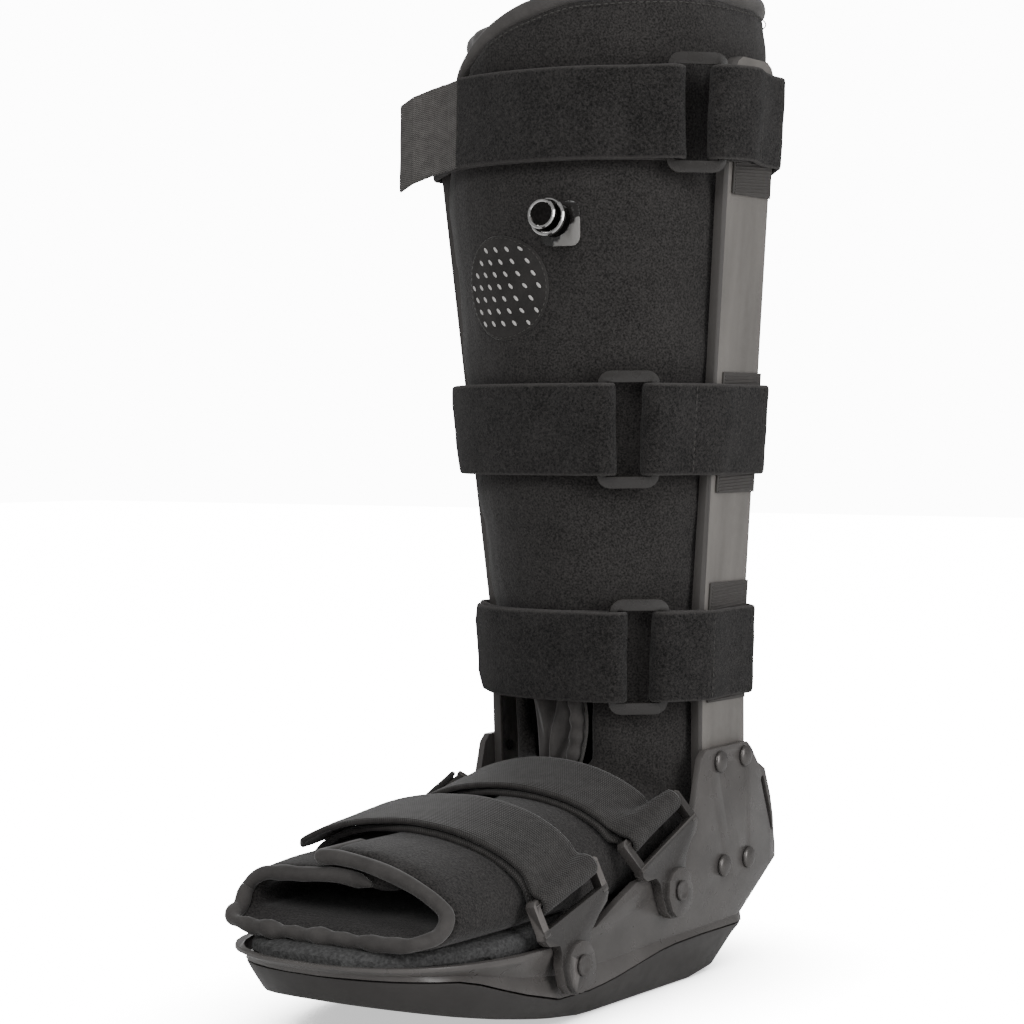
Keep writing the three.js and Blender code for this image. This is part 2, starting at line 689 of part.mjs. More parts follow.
// A flat ribbon between two edge lines.
function ribbon(low, high, thick) {
  const rings = low.map((p, i) => {
    const before = Math.max(0, i - 1);
    const after = Math.min(low.length - 1, i + 1);
    const along = low[after].clone().add(high[after]).sub(low[before]).sub(high[before]);
    const across = high[i].clone().sub(p);
    const lift = along.cross(across).normalize().multiplyScalar(thick / 2);
    return [p.clone().sub(lift), p.clone().add(lift), high[i].clone().add(lift), high[i].clone().sub(lift)];
  });
  return loft(rings);
}

const FABRIC = 2.6; // thickness of the brushed strap fabric
const RING = { wide: 24, bar: 3.2, thick: 2.6, rail: 4.8 };
const RING_LIFT = 5.9;
const LOOP_DEEP = 5; // how far a strap's loop reaches past the middle of the ring's bar
const STRAP_LIFT = GAP + 0.1 + FABRIC / 2;
const SECOND_LIFT = STRAP_LIFT + FABRIC + 0.6;

// Three straps round the leg: bottom and top edge, angle of the ring, angle of the folded-back free end.
const STRAPS = [
  { name: "top", low: 342.4, high: 380.4, ring: 57, end: -25 },
  { name: "middle", low: 213.6, high: 251.6, ring: 36.5, end: -62 },
  { name: "low", low: 119, high: 157, ring: 42.3, end: -62 },
];

// The strap's way round: sewn lap, loop on the ring, all round the leg, through the ring and back over itself.
function strapPath(strap) {
  const middle = (strap.low + strap.high) / 2;
  const reach = bandReach(strap.ring, middle);
  const degrees = (length) => (length / reach) * (180 / Math.PI);
  const bar = RING.wide / 2 - RING.bar / 2;
  const turnHigh = RING_LIFT - STRAP_LIFT;
  const bend = [-90, -60, -30, 0, 30, 60, 90].map((turn) => ({
    arc: -Math.cos((turn * Math.PI) / 180),
    lift: Math.sin((turn * Math.PI) / 180),
  }));
  const path = [];
  const add = (arc, lift) => path.push([strap.ring + degrees(arc), lift]);
  add(bar + 16, STRAP_LIFT);
  add(bar + 6, STRAP_LIFT);
  for (const { arc, lift } of bend) path.push([strap.ring + degrees(bar), RING_LIFT + lift * turnHigh, arc * LOOP_DEEP]);
  add(bar + 8, RING_LIFT + turnHigh * 0.55);
  add(bar + 17, SECOND_LIFT);
  add(bar + 24, STRAP_LIFT + 1.2);
  add(bar + 31, STRAP_LIFT);
  const from = strap.ring + degrees(bar + 37);
  const to = strap.ring + 360 - degrees(bar + 8);
  const stops = [];
  for (let i = 0; i <= 30; i++) stops.push(from + ((to - from) * i) / 30);
  for (const corner of bandCorners(middle)) if (corner > from + 2 && corner < to - 2) stops.push(corner - 1.5, corner + 1.5);
  for (const stop of stops.sort((p, q) => p - q)) path.push([stop, STRAP_LIFT]);
  const back = (arc, lift) => path.push([strap.ring + 360 + degrees(arc), lift]);
  for (const { arc, lift } of bend) {
    path.push([strap.ring + 360 - degrees(bar), RING_LIFT + lift * turnHigh, -arc * LOOP_DEEP]);
  }
  back(-bar - 8, RING_LIFT + turnHigh * 0.5);
  back(-bar - 18, SECOND_LIFT);
  const start = strap.ring + 360 - degrees(bar + 24);
  const finish = 360 + strap.end;
  for (let i = 0; i <= 12; i++) path.push([start + ((finish - start) * i) / 12, SECOND_LIFT]);
  return path;
}

function legStrap(strap) {
  const path = strapPath(strap);
  const low = path.map(([angle, lift, slide]) => bandPoint(angle, lift, strap.low, slide));
  const high = path.map(([angle, lift, slide]) => bandPoint(angle, lift, strap.high, slide));
  return ribbon(low, high, FABRIC);
}

// Outline of a box with rounded corners, from its half width, half height and corner radius.
function roundedBox(wide, tall, radius) {
  const points = [];
  for (const [x, y, start] of [[1, 1, 0], [-1, 1, 90], [-1, -1, 180], [1, -1, 270]]) {
    for (let i = 0; i <= 4; i++) {
      const turn = ((start + i * 22.5) * Math.PI) / 180;
      points.push([x * (wide - radius) + radius * Math.cos(turn), y * (tall - radius) + radius * Math.sin(turn)]);
    }
  }
  return points;
}

// The rectangular ring that each strap passes through.
function strapRing(strap) {
  const middle = (strap.low + strap.high) / 2;
  const spread = ((RING.wide - RING.bar) / 2 / bandReach(strap.ring, middle)) * (180 / Math.PI);
  const barEnd = (sign, z) => bandPoint(strap.ring + sign * spread, RING_LIFT, z);
  const low = barEnd(-1, strap.low).add(barEnd(1, strap.low)).multiplyScalar(0.5);
  const high = barEnd(-1, strap.high).add(barEnd(1, strap.high)).multiplyScalar(0.5);
  const up = high.clone().sub(low).normalize();
  const span = barEnd(1, middle).sub(barEnd(-1, middle));
  const out = span.clone().cross(up).normalize();
  const along = up.clone().cross(out);
  const centre = low.add(high).multiplyScalar(0.5);
  const half = span.length() / 2 + RING.bar / 2;
  const tall = STRAP_WIDE / 2 + 0.5 + RING.rail;
  const hole = roundedBox(half - RING.bar, tall - RING.rail, 0.6);
  return slab(roundedBox(half, tall, 5.5), RING.thick, frameAt(centre, along, up, out), hole.reverse());
}

// The webbing pull tab sewn to the free end of the top strap, bent away from the leg in three facets.
const WEBBING = 1.8;
const TAB_BENDS = [
  { out: 0, along: 1, drop: 0 },
  { out: 0.8, along: 7, drop: 1 },
  { out: 5, along: 14, drop: 3 },
  { out: 10.5, along: 20, drop: 6 },
  { out: 12, along: 27, drop: 9 },
];

function pullTab() {
  const strap = STRAPS[0];
  const edge = (z) => {
    const start = bandPoint(strap.end, SECOND_LIFT, z);
    const before = bandPoint(strap.end + 4, SECOND_LIFT, z);
    const along = start.clone().sub(before).normalize();
    const out = V(along.y, -along.x, 0);
    if (out.y > 0) out.negate();
    return TAB_BENDS.map((bend) =>
      start
        .clone()
        .addScaledVector(along, bend.along)
        .addScaledVector(out, bend.out)
        .add(V(0, 0, -bend.drop)),
    );
  };
  return ribbon(edge(strap.low), edge(strap.high), WEBBING);
}

// The brackets that hold the two foot straps: riveted lug, neck and a loop leaning in over the foot.
const BRACKETS = [
  { name: "front", y: -124.4, z: 25.7, slope: 16.2, lean: 14, shift: 5.5 },
  { name: "rear", y: -50.4, z: 43.8, slope: 22.4, lean: 29, shift: 3 },
];
const BRACKET = { thick: 4.2, inner: PLATE_OUT + GAP, fold: 20, reach: 11, bar: 2.2, arm: 3.6, boss: 2.5 };
const BRACKET_MID = BRACKET.inner + BRACKET.thick / 2;

// Centre line of a bracket's top bar, as a frame with x along the bar.
function barFrame(bracket, side = 1) {
  const slope = (bracket.slope * Math.PI) / 180;
  const lean = (bracket.lean * Math.PI) / 180;
  const base = sideFrame(side, BRACKET_MID, bracket.y, bracket.z, slope);
  const along = new THREE.Vector3().setFromMatrixColumn(base, 0);
  const up = new THREE.Vector3().setFromMatrixColumn(base, 1);
  const out = new THREE.Vector3().setFromMatrixColumn(base, 2);
  const tilted = up.clone().multiplyScalar(Math.cos(lean)).addScaledVector(out, -Math.sin(lean));
  const foot = V(side * BRACKET_MID, bracket.y, bracket.z)
    .addScaledVector(along, bracket.shift)
    .addScaledVector(up, BRACKET.fold);
  const centre = foot.clone().addScaledVector(tilted, BRACKET.reach);
  return { along, up, out, tilted, foot, centre };
}

function strapBracket(bracket) {
  const slope = (bracket.slope * Math.PI) / 180;
  const face = sideFrame(1, BRACKET_MID, bracket.y, bracket.z, slope);
  const s = bracket.shift;
  const half = STRAP_WIDE / 2 + 0.5 + BRACKET.arm;
  const right = [
    [3.5, -11.4],
    [7.4, -9.4],
    [9.6, -5],
    [10, 3],
    [11.2 + s * 0.5, 8.5],
    [14.5 + s, 12],
    [half - 2 + s, 14.6],
    [half + s, 17.5],
    [half + s, 21.5],
  ];
  const left = right.map(([a, b], i) => [i < 4 ? -a : 2 * s * (i === 4 ? 0.5 : 1) - a, b]).reverse();
  const body = slab([...right, ...left], BRACKET.thick, face);
  const lug = [
    [3, -10.4],
    [6.8, -8.6],
    [8.8, -4.6],
    [9, 2],
    [6.4, 7.2],
    [2.4, 9.2],
  ];
  const lugOutline = [...lug, ...lug.map(([a, b]) => [-a, b]).reverse()];
  const bossFrame = sideFrame(1, BRACKET_MID + BRACKET.thick / 2 + BRACKET.boss / 2 - 0.05, bracket.y, bracket.z, slope);
  const boss = slab(lugOutline, BRACKET.boss + 0.1, bossFrame);
  const { along, tilted, foot, centre } = barFrame(bracket);
  const armOut = along.clone().cross(tilted);
  const armLong = BRACKET.reach + BRACKET.bar;
  const arm = [
    [half - BRACKET.arm, -1.6],
    [half, -1.6],
    [half, armLong - 1.4],
    [half - 1.6, armLong],
    [half - BRACKET.arm, armLong],
  ];
  const armFrame = frameAt(foot, along, tilted, armOut);
  const near = slab(arm, BRACKET.thick, armFrame);
  const far = slab(arm.map(([a, b]) => [-a, b]).reverse(), BRACKET.thick, armFrame);
  const round = new THREE.CylinderGeometry(BRACKET.bar, BRACKET.bar, 2 * half - 3, 10);
  const bar = solidOf(round, frameAt(centre, tilted, along.clone().negate(), armOut));
  const slotAir = slab(
    [
      [-half + BRACKET.arm, 0.8],
      [half - BRACKET.arm, 0.8],
      [half - BRACKET.arm, 8],
      [-half + BRACKET.arm, 8],
    ],
    30,
    armFrame,
  );
  const hole = pin(1, RIVET_HOLE, bracket.y, bracket.z, PLATE_OUT - 7, PLATE_OUT + 23);
  return body.subtract(slotAir).add(boss).add(near).add(far).add(bar).subtract(hole);
}

// A rivet: low domed head outside, shank through plate and upright.
function rivet(y, z, face, inward, head, dome) {
  const profile = [
    [0, -inward],
    [RIVET_SHANK, -inward],
    [RIVET_SHANK, GAP],
    [head, GAP],
    [head, GAP + dome * 0.3],
    [head * 0.8, GAP + dome * 0.75],
    [head * 0.4, GAP + dome * 0.97],
    [0, GAP + dome],
  ].map(([r, h]) => new THREE.Vector2(r, h));
  const geometry = new THREE.LatheGeometry(profile, 14);
  geometry.rotateZ(-Math.PI / 2);
  geometry.translate(face, y, z);
  return solidOf(geometry);
}

// Foot straps: webbing fixed to the far bracket, over the foot, round the near bracket's bar and back on top.
const FOOT_WEBBING = 2.4;
const FOOT_STRAPS = [
  { name: "front", bracket: BRACKETS[0], frontY: -150, rearY: -112, hug: 78, end: -66, drift: 12 },
  { name: "rear", bracket: BRACKETS[1], frontY: -84, rearY: -50, hug: 67, end: -70, drift: 5 },
];

function footStrap({ bracket, frontY, rearY, hug, end, drift }) {
  const { along, up, centre } = barFrame(bracket);
  const wrap = BRACKET.bar + 0.4 + FOOT_WEBBING / 2;
  const edge = (sign, y0) => {
    const bar = centre.clone().addScaledVector(along, (sign * STRAP_WIDE) / 2);
    const line = [];
    const round = (side, angles) => {
      for (const angle of angles) {
        const turn = (angle * Math.PI) / 180;
        const point = bar.clone().addScaledVector(up, wrap * Math.sin(turn));
        point.x = side * (bar.x + wrap * Math.cos(turn));
        line.push(point);
      }
    };
    const over = (from, to, lift, slide) => {
      const steps = 16;
      for (let i = 0; i <= steps; i++) {
        const angle = from + ((to - from) * i) / steps;
        const point = footPoint(angle, -lift, y0);
        const edgeShare = Math.min(1, Math.abs(point.x) / bar.x) ** 3;
        point.y += (bar.y - y0) * edgeShare * (slide ? (point.x > 0 ? 1 : 0) : 1);
        if (slide && point.x < 0) point.y -= slide * (-point.x / bar.x);
        line.push(point);
      }
    };
    const first = 2 * GAP + FOOT_WEBBING / 2;
    round(-1, [60, 30, 0, -30, -60, -90, -120, -150, 172]);
    over(-hug, hug, first, 0);
    round(1, [172, -150, -120, -90, -60, -30, 0, 30, 65, 100]);
    over(hug - 6, end, first + FOOT_WEBBING + 0.9, drift);
    return line;
  };
  return ribbon(edge(-1, frontY), edge(1, rearY), FOOT_WEBBING);
}

// A thin disc or tile that follows the leg's face, from a flat outline of [across, up] pairs.
function facePatch(angle, height, outline, lifts) {
  const centre = legPoint(angle, 0, height);
  const reach = Math.hypot(centre.x, centre.y);
  const ring = (share, lift) =>
    outline.map(([a, b]) => legPoint(angle + ((a * share) / reach) * (180 / Math.PI), -lift, height + b * share));
  const rings = [];
  for (const share of [0.12, 0.42, 0.72]) rings.push(ring(share, lifts[0]));
  rings.push(ring(1, lifts[0]));
  rings.push(ring(1, lifts[1]));
  for (const share of [0.72, 0.42, 0.12]) rings.push(ring(share, lifts[1]));
  return loft(rings);
}

function round(radius, sides) {
  return Array.from({ length: sides }, (_, i) => {
    const turn = ((i + 0.5) / sides) * 2 * Math.PI;
    return [radius * Math.cos(turn), radius * Math.sin(turn)];
  });
}

// The air valve: clear seat tile on the liner, and a round body and cap that rise a little along their axis.
const VALVE = { angle: 14, z: 317, turn: -8, rise: 0.16 };
const TILE = { half: 9.3, corner: 4, lifts: [GAP, 1.6] };

function valveTurned(profile) {
  const base = legPoint(VALVE.angle, 0, VALVE.z);
  const facing = VALVE.angle + VALVE.turn;
  const out = legPoint(facing, 0, VALVE.z).sub(legPoint(facing, 1, VALVE.z)).normalize();
  out.z += VALVE.rise;
  out.normalize();
  const geometry = new THREE.LatheGeometry(
    profile.map(([r, h]) => new THREE.Vector2(r, h)),
    20,
  );
  const turn = new THREE.Quaternion().setFromUnitVectors(V(0, 1, 0), out);
  return solidOf(geometry, new THREE.Matrix4().compose(base, turn, V(1, 1, 1)));
}

place("outsole", outsole(), "sole");
place("tray", tray(), "tray");
place("foam_pad", foamPad(), "foam");
place("liner", liner(), "liner");
place("liner_collar", collar(), "binding");
place("toe_binding", toeBinding(), "binding");
place("ankle_gusset", ankleGusset(), "binding");

const channel = upright();
place("upright_left", channel, "upright");
place("upright_right", mirrored(channel), "upright");
for (const grip of GRIPS) {
  const patch = gripPatch(grip);
  place(`grip_patch_${grip.name}_left`, patch, "grip");
  place(`grip_patch_${grip.name}_right`, mirrored(patch), "grip");
}
for (const { name, y, z } of RIVETS) {
  const pinned = rivet(y, z, PLATE_OUT, 6.4, RIVET_HEAD, 2.2);
  place(`rivet_${name}_left`, pinned, "rivet");
  place(`rivet_${name}_right`, mirrored(pinned), "rivet");
}
for (const bracket of BRACKETS) {
  const made = strapBracket(bracket);
  place(`strap_bracket_${bracket.name}_left`, made, "tray");
  place(`strap_bracket_${bracket.name}_right`, mirrored(made), "tray");
  const face = BRACKET_MID + BRACKET.thick / 2 + BRACKET.boss;
  const pinned = rivet(bracket.y, bracket.z, face, 12, 4.2, 1.2);
  place(`bracket_rivet_${bracket.name}_left`, pinned, "rivet");
  place(`bracket_rivet_${bracket.name}_right`, mirrored(pinned), "rivet");
}
for (const strap of STRAPS) {
  place(`leg_strap_${strap.name}`, legStrap(strap), "strap");
  place(`strap_ring_${strap.name}`, strapRing(strap), "ring");
}
place("pull_tab", pullTab(), "webbing");
for (const strap of FOOT_STRAPS) place(`foot_strap_${strap.name}`, footStrap(strap), "webbing");

place("vent_mesh", facePatch(-8.8, 291.5, round(21.8, 24), [GAP, 1.3]), "mesh");
place("valve_seat", facePatch(VALVE.angle, VALVE.z, roundedBox(TILE.half, TILE.half, TILE.corner), TILE.lifts), "clear");
place(
  "valve_body",
  valveTurned([
    [0, 3.1],
    [4.2, 3.1],
    [4.2, 4.8],
    [7.2, 5.4],
    [7.2, 11],
    [8, 11.3],
    [8, 12.7],
    [7.4, 13.1],
    [0, 13.1],
  ]),
  "metal",
);
place(
  "valve_cap",
  valveTurned([
    [0, 13.4],
    [5.4, 13.4],
    [5.4, 16.4],
    [6.3, 16.8],
    [6.3, 17.4],
    [5.7, 18],
    [4.9, 17.8],
    [4.9, 17],
    [0, 17],
  ]),
  "metal",
);

// The origin is the middle of the whole boot's footprint, on the ground.
boot.updateMatrixWorld(true);
const bounds = new THREE.Box3().setFromObject(boot);
boot.position.set(-(bounds.min.x + bounds.max.x) / 2, -(bounds.min.y + bounds.max.y) / 2, -bounds.min.z);
boot.updateMatrixWorld(true);

export default boot;
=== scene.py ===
import math

import bmesh
import bpy
import numpy as np
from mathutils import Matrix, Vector


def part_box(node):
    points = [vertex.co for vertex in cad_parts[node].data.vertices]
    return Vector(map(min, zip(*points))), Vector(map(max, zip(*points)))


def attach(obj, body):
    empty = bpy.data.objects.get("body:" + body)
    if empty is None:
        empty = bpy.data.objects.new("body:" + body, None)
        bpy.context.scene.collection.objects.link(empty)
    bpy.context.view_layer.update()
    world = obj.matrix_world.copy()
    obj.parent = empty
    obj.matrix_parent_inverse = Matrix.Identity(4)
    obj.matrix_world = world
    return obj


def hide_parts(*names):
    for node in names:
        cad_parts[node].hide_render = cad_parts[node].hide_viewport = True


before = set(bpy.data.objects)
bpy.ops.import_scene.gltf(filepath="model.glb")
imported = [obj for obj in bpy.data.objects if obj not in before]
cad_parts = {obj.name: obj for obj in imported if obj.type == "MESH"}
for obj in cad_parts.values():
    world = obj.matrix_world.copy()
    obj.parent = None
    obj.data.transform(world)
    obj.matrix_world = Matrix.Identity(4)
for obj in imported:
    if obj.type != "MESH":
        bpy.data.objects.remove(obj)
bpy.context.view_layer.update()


# Camera and studio.
# A long lens stands at knee height, turned a third of the way from the toe to the boot's left side.
# Soft boxes in front, at the side and behind light the boot on a pale floor.
def linked(name, data):
    """A new object for the data, linked into the scene."""
    made = bpy.data.objects.new(name, data)
    bpy.context.scene.collection.objects.link(made)
    return made


camera_data = bpy.data.cameras.new("photo_camera")
camera_data.sensor_width = 36
camera_data.lens = 89.7
camera_data.clip_start = 0.05
camera = linked("photo_camera", camera_data)
camera.location = (0.5929, -0.8682, 0.229)
camera.rotation_euler = (math.radians(90 - 1.66), 0, math.radians(34.5))
bpy.context.scene.camera = camera


def soft_box(name, place, aim, size, watts):
    lamp = bpy.data.lights.new(name, "AREA")
    lamp.shape = "RECTANGLE"
    lamp.size, lamp.size_y = size
    lamp.energy = watts
    made = linked(name, lamp)
    made.location = place
    made.rotation_euler = (Vector(aim) - Vector(place)).to_track_quat("-Z", "Y").to_euler()


soft_box("key_light", (0.35, -1.6, 1.4), (0, 0, 0.2), (0.9, 0.9), 11)
soft_box("side_light", (1.7, -0.2, 0.7), (0, 0, 0.2), (0.7, 1.2), 12)
soft_box("rear_light", (-0.9, 1.3, 1.1), (0, 0, 0.25), (0.8, 0.8), 10)


def new_material(name, colour, roughness, metallic=0.0):
    """A material with its shader set, as (material, node tree, shader)."""
    made = bpy.data.materials.new(name)
    made.use_nodes = True
    shader = made.node_tree.nodes["Principled BSDF"]
    shader.inputs["Base Color"].default_value = (*colour, 1)
    shader.inputs["Roughness"].default_value = roughness
    shader.inputs["Metallic"].default_value = metallic
    return made, made.node_tree, shader


def node(tree, kind, inputs=(), **settings):
    """Adds a node; inputs maps a socket's name or number to a value or another node's socket."""
    made = tree.nodes.new(kind)
    for key, value in settings.items():
        setattr(made, key, value)
    for key, value in dict(inputs).items():
        if isinstance(value, bpy.types.NodeSocket):
            tree.links.new(value, made.inputs[key])
        else:
            made.inputs[key].default_value = value
    return made


CAMERA_GLOW = 16  # how bright the camera sees the backdrop and the lit floor
room = bpy.data.worlds.new("studio_room")
room.use_nodes = True
room_tree = room.node_tree
soft_light = room_tree.nodes["Background"]
soft_light.inputs["Color"].default_value = (1, 1, 1, 1)
soft_light.inputs["Strength"].default_value = 0.3
backdrop = node(room_tree, "ShaderNodeBackground", {"Strength": CAMERA_GLOW}).outputs[0]
seen = node(room_tree, "ShaderNodeLightPath").outputs["Is Camera Ray"]
parted = node(room_tree, "ShaderNodeMixShader", {0: seen, 1: soft_light.outputs[0], 2: backdrop})
room_tree.links.new(parted.outputs[0], room_tree.nodes["World Output"].inputs["Surface"])
bpy.context.scene.world = room


def maths(tree, operation, *values):
    """One maths node's result, from numbers or sockets."""
    return node(tree, "ShaderNodeMath", dict(enumerate(values)), operation=operation).outputs[0]


def ramp(tree, source, stops):
    """Colour ramp from (position, colour) pairs; a colour is a grey number or three numbers."""
    made = node(tree, "ShaderNodeValToRGB", {"Fac": source})
    band = made.color_ramp
    while len(band.elements) < len(stops):
        band.elements.new(0.5)
    for element, (position, colour) in zip(band.elements, stops):
        element.position = position
        element.color = (*colour, 1) if hasattr(colour, "__len__") else (colour, colour, colour, 1)
    return made.outputs["Color"]


floor_mesh = bpy.data.meshes.new("studio_floor")
floor_mesh.from_pydata([(-6, -6, 0), (6, -6, 0), (6, 6, 0), (-6, 6, 0)], [], [(0, 1, 2, 3)])
floor = linked("studio_floor", floor_mesh)
floor_look, floor_tree, floor_shader = new_material("pale_floor", (0.86, 0.86, 0.86), 0.7)
floor_shader.inputs["Emission Color"].default_value = (1, 1, 1, 1)
# Seen by the camera the floor glows evenly, and ambient occlusion darkens the glow near the boot: a
# painted contact shadow.
shade = node(floor_tree, "ShaderNodeAmbientOcclusion", {"Distance": 0.07}, samples=12).outputs["AO"]
floor_glow_with_painted_shadow = ramp(floor_tree, shade, [(0.25, 0.05), (0.6, 0.45), (1.0, 1.0)])
direct = node(floor_tree, "ShaderNodeLightPath").outputs["Is Camera Ray"]
strength = maths(floor_tree, "MULTIPLY", maths(floor_tree, "MULTIPLY", floor_glow_with_painted_shadow, direct), CAMERA_GLOW)
floor_tree.links.new(strength, floor_shader.inputs["Emission Strength"])
floor_mesh.materials.append(floor_look)


# Outsole.
# Moulded rubber, flat under the foot, rocking up at the toe and bevelled at the heel.
# It is bonded under the tray and shows below the tray's edge all the way round.
MM = 0.001


def noise(tree, scale, detail=3.0, roughness=0.5, distortion=0.0, stretch=None):
    """Noise on object coordinates; scale is the number of cells per metre."""
    where = node(tree, "ShaderNodeTexCoord").outputs["Object"]
    if stretch:
        where = node(tree, "ShaderNodeMapping", {"Vector": where, "Scale": stretch}).outputs[0]
    inputs = {"Vector": where, "Scale": scale, "Detail": detail, "Roughness": roughness}
    inputs["Distortion"] = distortion
    return node(tree, "ShaderNodeTexNoise", inputs).outputs["Fac"]


def clouded(tree, scale, detail, low, high, roughness=0.5):
    """Soft patches that run between two greys or two colours."""
    return ramp(tree, noise(tree, scale, detail, roughness), [(0.3, low), (0.7, high)])


def scaled(colour, factor):
    return tuple(min(1.0, c * factor) for c in colour)


def bump(tree, shader, *layers):
    """Chains bump nodes: each layer is (height socket, strength, distance in mm)."""
    normal = None
    for height, strength, distance in layers:
        inputs = {"Height": height, "Strength": strength, "Distance": distance * MM}
        if normal is not None:
            inputs["Normal"] = normal
        normal = node(tree, "ShaderNodeBump", inputs).outputs["Normal"]
    tree.links.new(normal, shader.inputs["Normal"])


def highlit_and_worn_edges(tree, plain, edge_colour):
    """Mixes in a lighter colour where edges stand out: a painted edge highlight, with wear."""
    edge = node(tree, "ShaderNodeNewGeometry").outputs["Pointiness"]
    return mix_colour(tree, ramp(tree, edge, [(0.52, 0.0), (0.6, 1.0)]), plain, edge_colour)


def mix_colour(tree, share, first, second):
    """Mixes two colours, each a tuple or a socket."""
    made = node(tree, "ShaderNodeMix", data_type="RGBA")
    for number, value in ((0, share), (6, first), (7, second)):
        socket = made.inputs[number]
        if isinstance(value, bpy.types.NodeSocket):
            tree.links.new(value, socket)
        else:
            socket.default_value = value if isinstance(value, float) else (*value, 1)
    return made.outputs[2]


def moulded(name, colour, roughness, grain=0.25, edges=1.7):
    """Moulded plastic or rubber: fine grain, soft mottling and paler edges, painted as highlights
    and wear.
    """
    made, tree, shader = new_material(name, colour, roughness)
    mottle = clouded(tree, 45, 4, scaled(colour, 0.85), scaled(colour, 1.18))
    # Edges are lightened by pointiness: a painted highlight along every edge, with wear.
    tree.links.new(highlit_and_worn_edges(tree, mottle, scaled(colour, edges)), shader.inputs["Base Color"])
    gloss = clouded(tree, 160, 2, roughness - 0.04, roughness + 0.05)
    tree.links.new(gloss, shader.inputs["Roughness"])
    bump(tree, shader, (noise(tree, 800, 2), grain, 0.05), (noise(tree, 120, 2), 0.1, 0.06))
    return made


def finish_piece(made, nodes, look=None):
    """The piece takes its look, stands for CAD nodes, whose parts it hides, and moves with the
    boot.
    """
    if look is not None:
        made.data.materials.clear()
        made.data.materials.append(look)
    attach(made, "root")
    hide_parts(*nodes)
    return made


def plain_mesh(made):
    """Applies the object's modifiers, leaving a plain mesh."""
    graph = bpy.context.evaluated_depsgraph_get()
    graph.update()
    flat = bpy.data.meshes.new_from_object(made.evaluated_get(graph))
    made.modifiers.clear()
    made.data = flat
    return made


def cad_copy(name, *nodes):
    """A merged copy of CAD nodes, as a new object with shared vertices."""
    joined = bmesh.new()
    for source in nodes:
        joined.from_mesh(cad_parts[source].data)
    bmesh.ops.remove_doubles(joined, verts=joined.verts, dist=2e-6)
    mesh = bpy.data.meshes.new(name)
    joined.to_mesh(mesh)
    joined.free()
    mesh.materials.clear()
    return linked(name, mesh)


def eased(made, width, segments=2):
    """Rounds the hard edges and shades the rest smooth."""
    whole = bmesh.new()
    whole.from_mesh(made.data)
    flat = math.radians(1.5)
    bmesh.ops.dissolve_limit(whole, angle_limit=flat, verts=whole.verts, edges=whole.edges)
    whole.to_mesh(made.data)
    whole.free()
    bevel = made.modifiers.new("edge", "BEVEL")
    bevel.width = width * MM
    bevel.segments = segments
    bevel.limit_method = "ANGLE"
    bevel.angle_limit = math.radians(32)
    bevel.use_clamp_overlap = True
    plain_mesh(made)
    smooth_by_angle(made, 38)
    return made


def smooth_by_angle(made, degrees):
    """Smooth shading, with edges sharper than the angle kept hard."""
    mesh = made.data
    mesh.polygons.foreach_set("use_smooth", [True] * len(mesh.polygons))
    mesh.set_sharp_from_angle(angle=math.radians(degrees))
    mesh.update()


outsole = eased(cad_copy("rocker_outsole", "outsole"), 1.2)
rubber = moulded("sole_rubber", (0.05, 0.0465, 0.0445), 0.38, grain=0.1, edges=1.2)
finish_piece(outsole, ["outsole"], rubber)


# Tray.
# Stiff moulded shell round the foot, its tall side plates running up to the uprights.
# Satin plastic with a fine grain; every edge is rounded by the mould.
tray = eased(cad_copy("moulded_tray", "tray"), 0.8)
tray_plastic = moulded("tray_plastic", (0.116, 0.108, 0.1035), 0.3, grain=0.04, edges=1.15)
finish_piece(tray, ["tray"], tray_plastic)


# Foam pad.
# Thick open-cell foam lying in the tray; its rough cut edge shows in front of the toes.
def remeshed(made, voxel, smoothing=0, true_to=None):
    """Even quads all over, as cloth needs, drawn back onto a true shape if one is given."""
    grid = made.modifiers.new("even", "REMESH")
    grid.mode = "VOXEL"
    grid.voxel_size = voxel * MM
    if smoothing:
        soft = made.modifiers.new("soft", "SMOOTH")
        soft.iterations = smoothing
        soft.factor = 0.5
    if true_to is not None:
        drawn = made.modifiers.new("drawn", "SHRINKWRAP")
        drawn.target = true_to
        drawn.wrap_method = "NEAREST_SURFACEPOINT"
    plain_mesh(made)
    if true_to is not None:
        bpy.data.objects.remove(true_to)
    return made


def vertex_table(mesh, what="co"):
    """The mesh's points, or normals, as rows of three numbers."""
    table = np.empty(len(mesh.vertices) * 3)
    mesh.vertices.foreach_get(what, table)
    return table.reshape(-1, 3)


def moved(made, points):
    """Puts the object's vertices at the points."""
    made.data.vertices.foreach_set("co", points.ravel())
    made.data.update()
    return made


def puffed(made, pressure, cap, frames=20):
    """Inflates the piece as cloth and keeps the result, with no point moved past the cap in mm."""
    rest = vertex_table(made.data)
    cloth = made.modifiers.new("cloth", "CLOTH")
    cloth.settings.use_pressure = True
    cloth.settings.uniform_pressure_force = pressure
    cloth.settings.quality = 4
    cloth.settings.effector_weights.gravity = 0
    cloth.settings.tension_stiffness = 25
    cloth.settings.compression_stiffness = 25
    cloth.settings.bending_stiffness = 1.5
    cloth.point_cache.frame_start = 1
    cloth.point_cache.frame_end = frames
    for step in range(1, frames + 1):
        bpy.context.scene.frame_set(step)
    plain_mesh(made)
    bpy.context.scene.frame_set(1)
    shift = vertex_table(made.data) - rest
    far = np.linalg.norm(shift, axis=1, keepdims=True)
    shift *= np.minimum(1, cap * MM / np.maximum(far, 1e-9))
    return moved(made, rest + shift)


def subdivided(made):
    fine = made.modifiers.new("fine", "SUBSURF")
    fine.levels = fine.render_levels = 1
    plain_mesh(made)
    made.data.polygons.foreach_set("use_smooth", [True] * len(made.data.polygons))
    return made


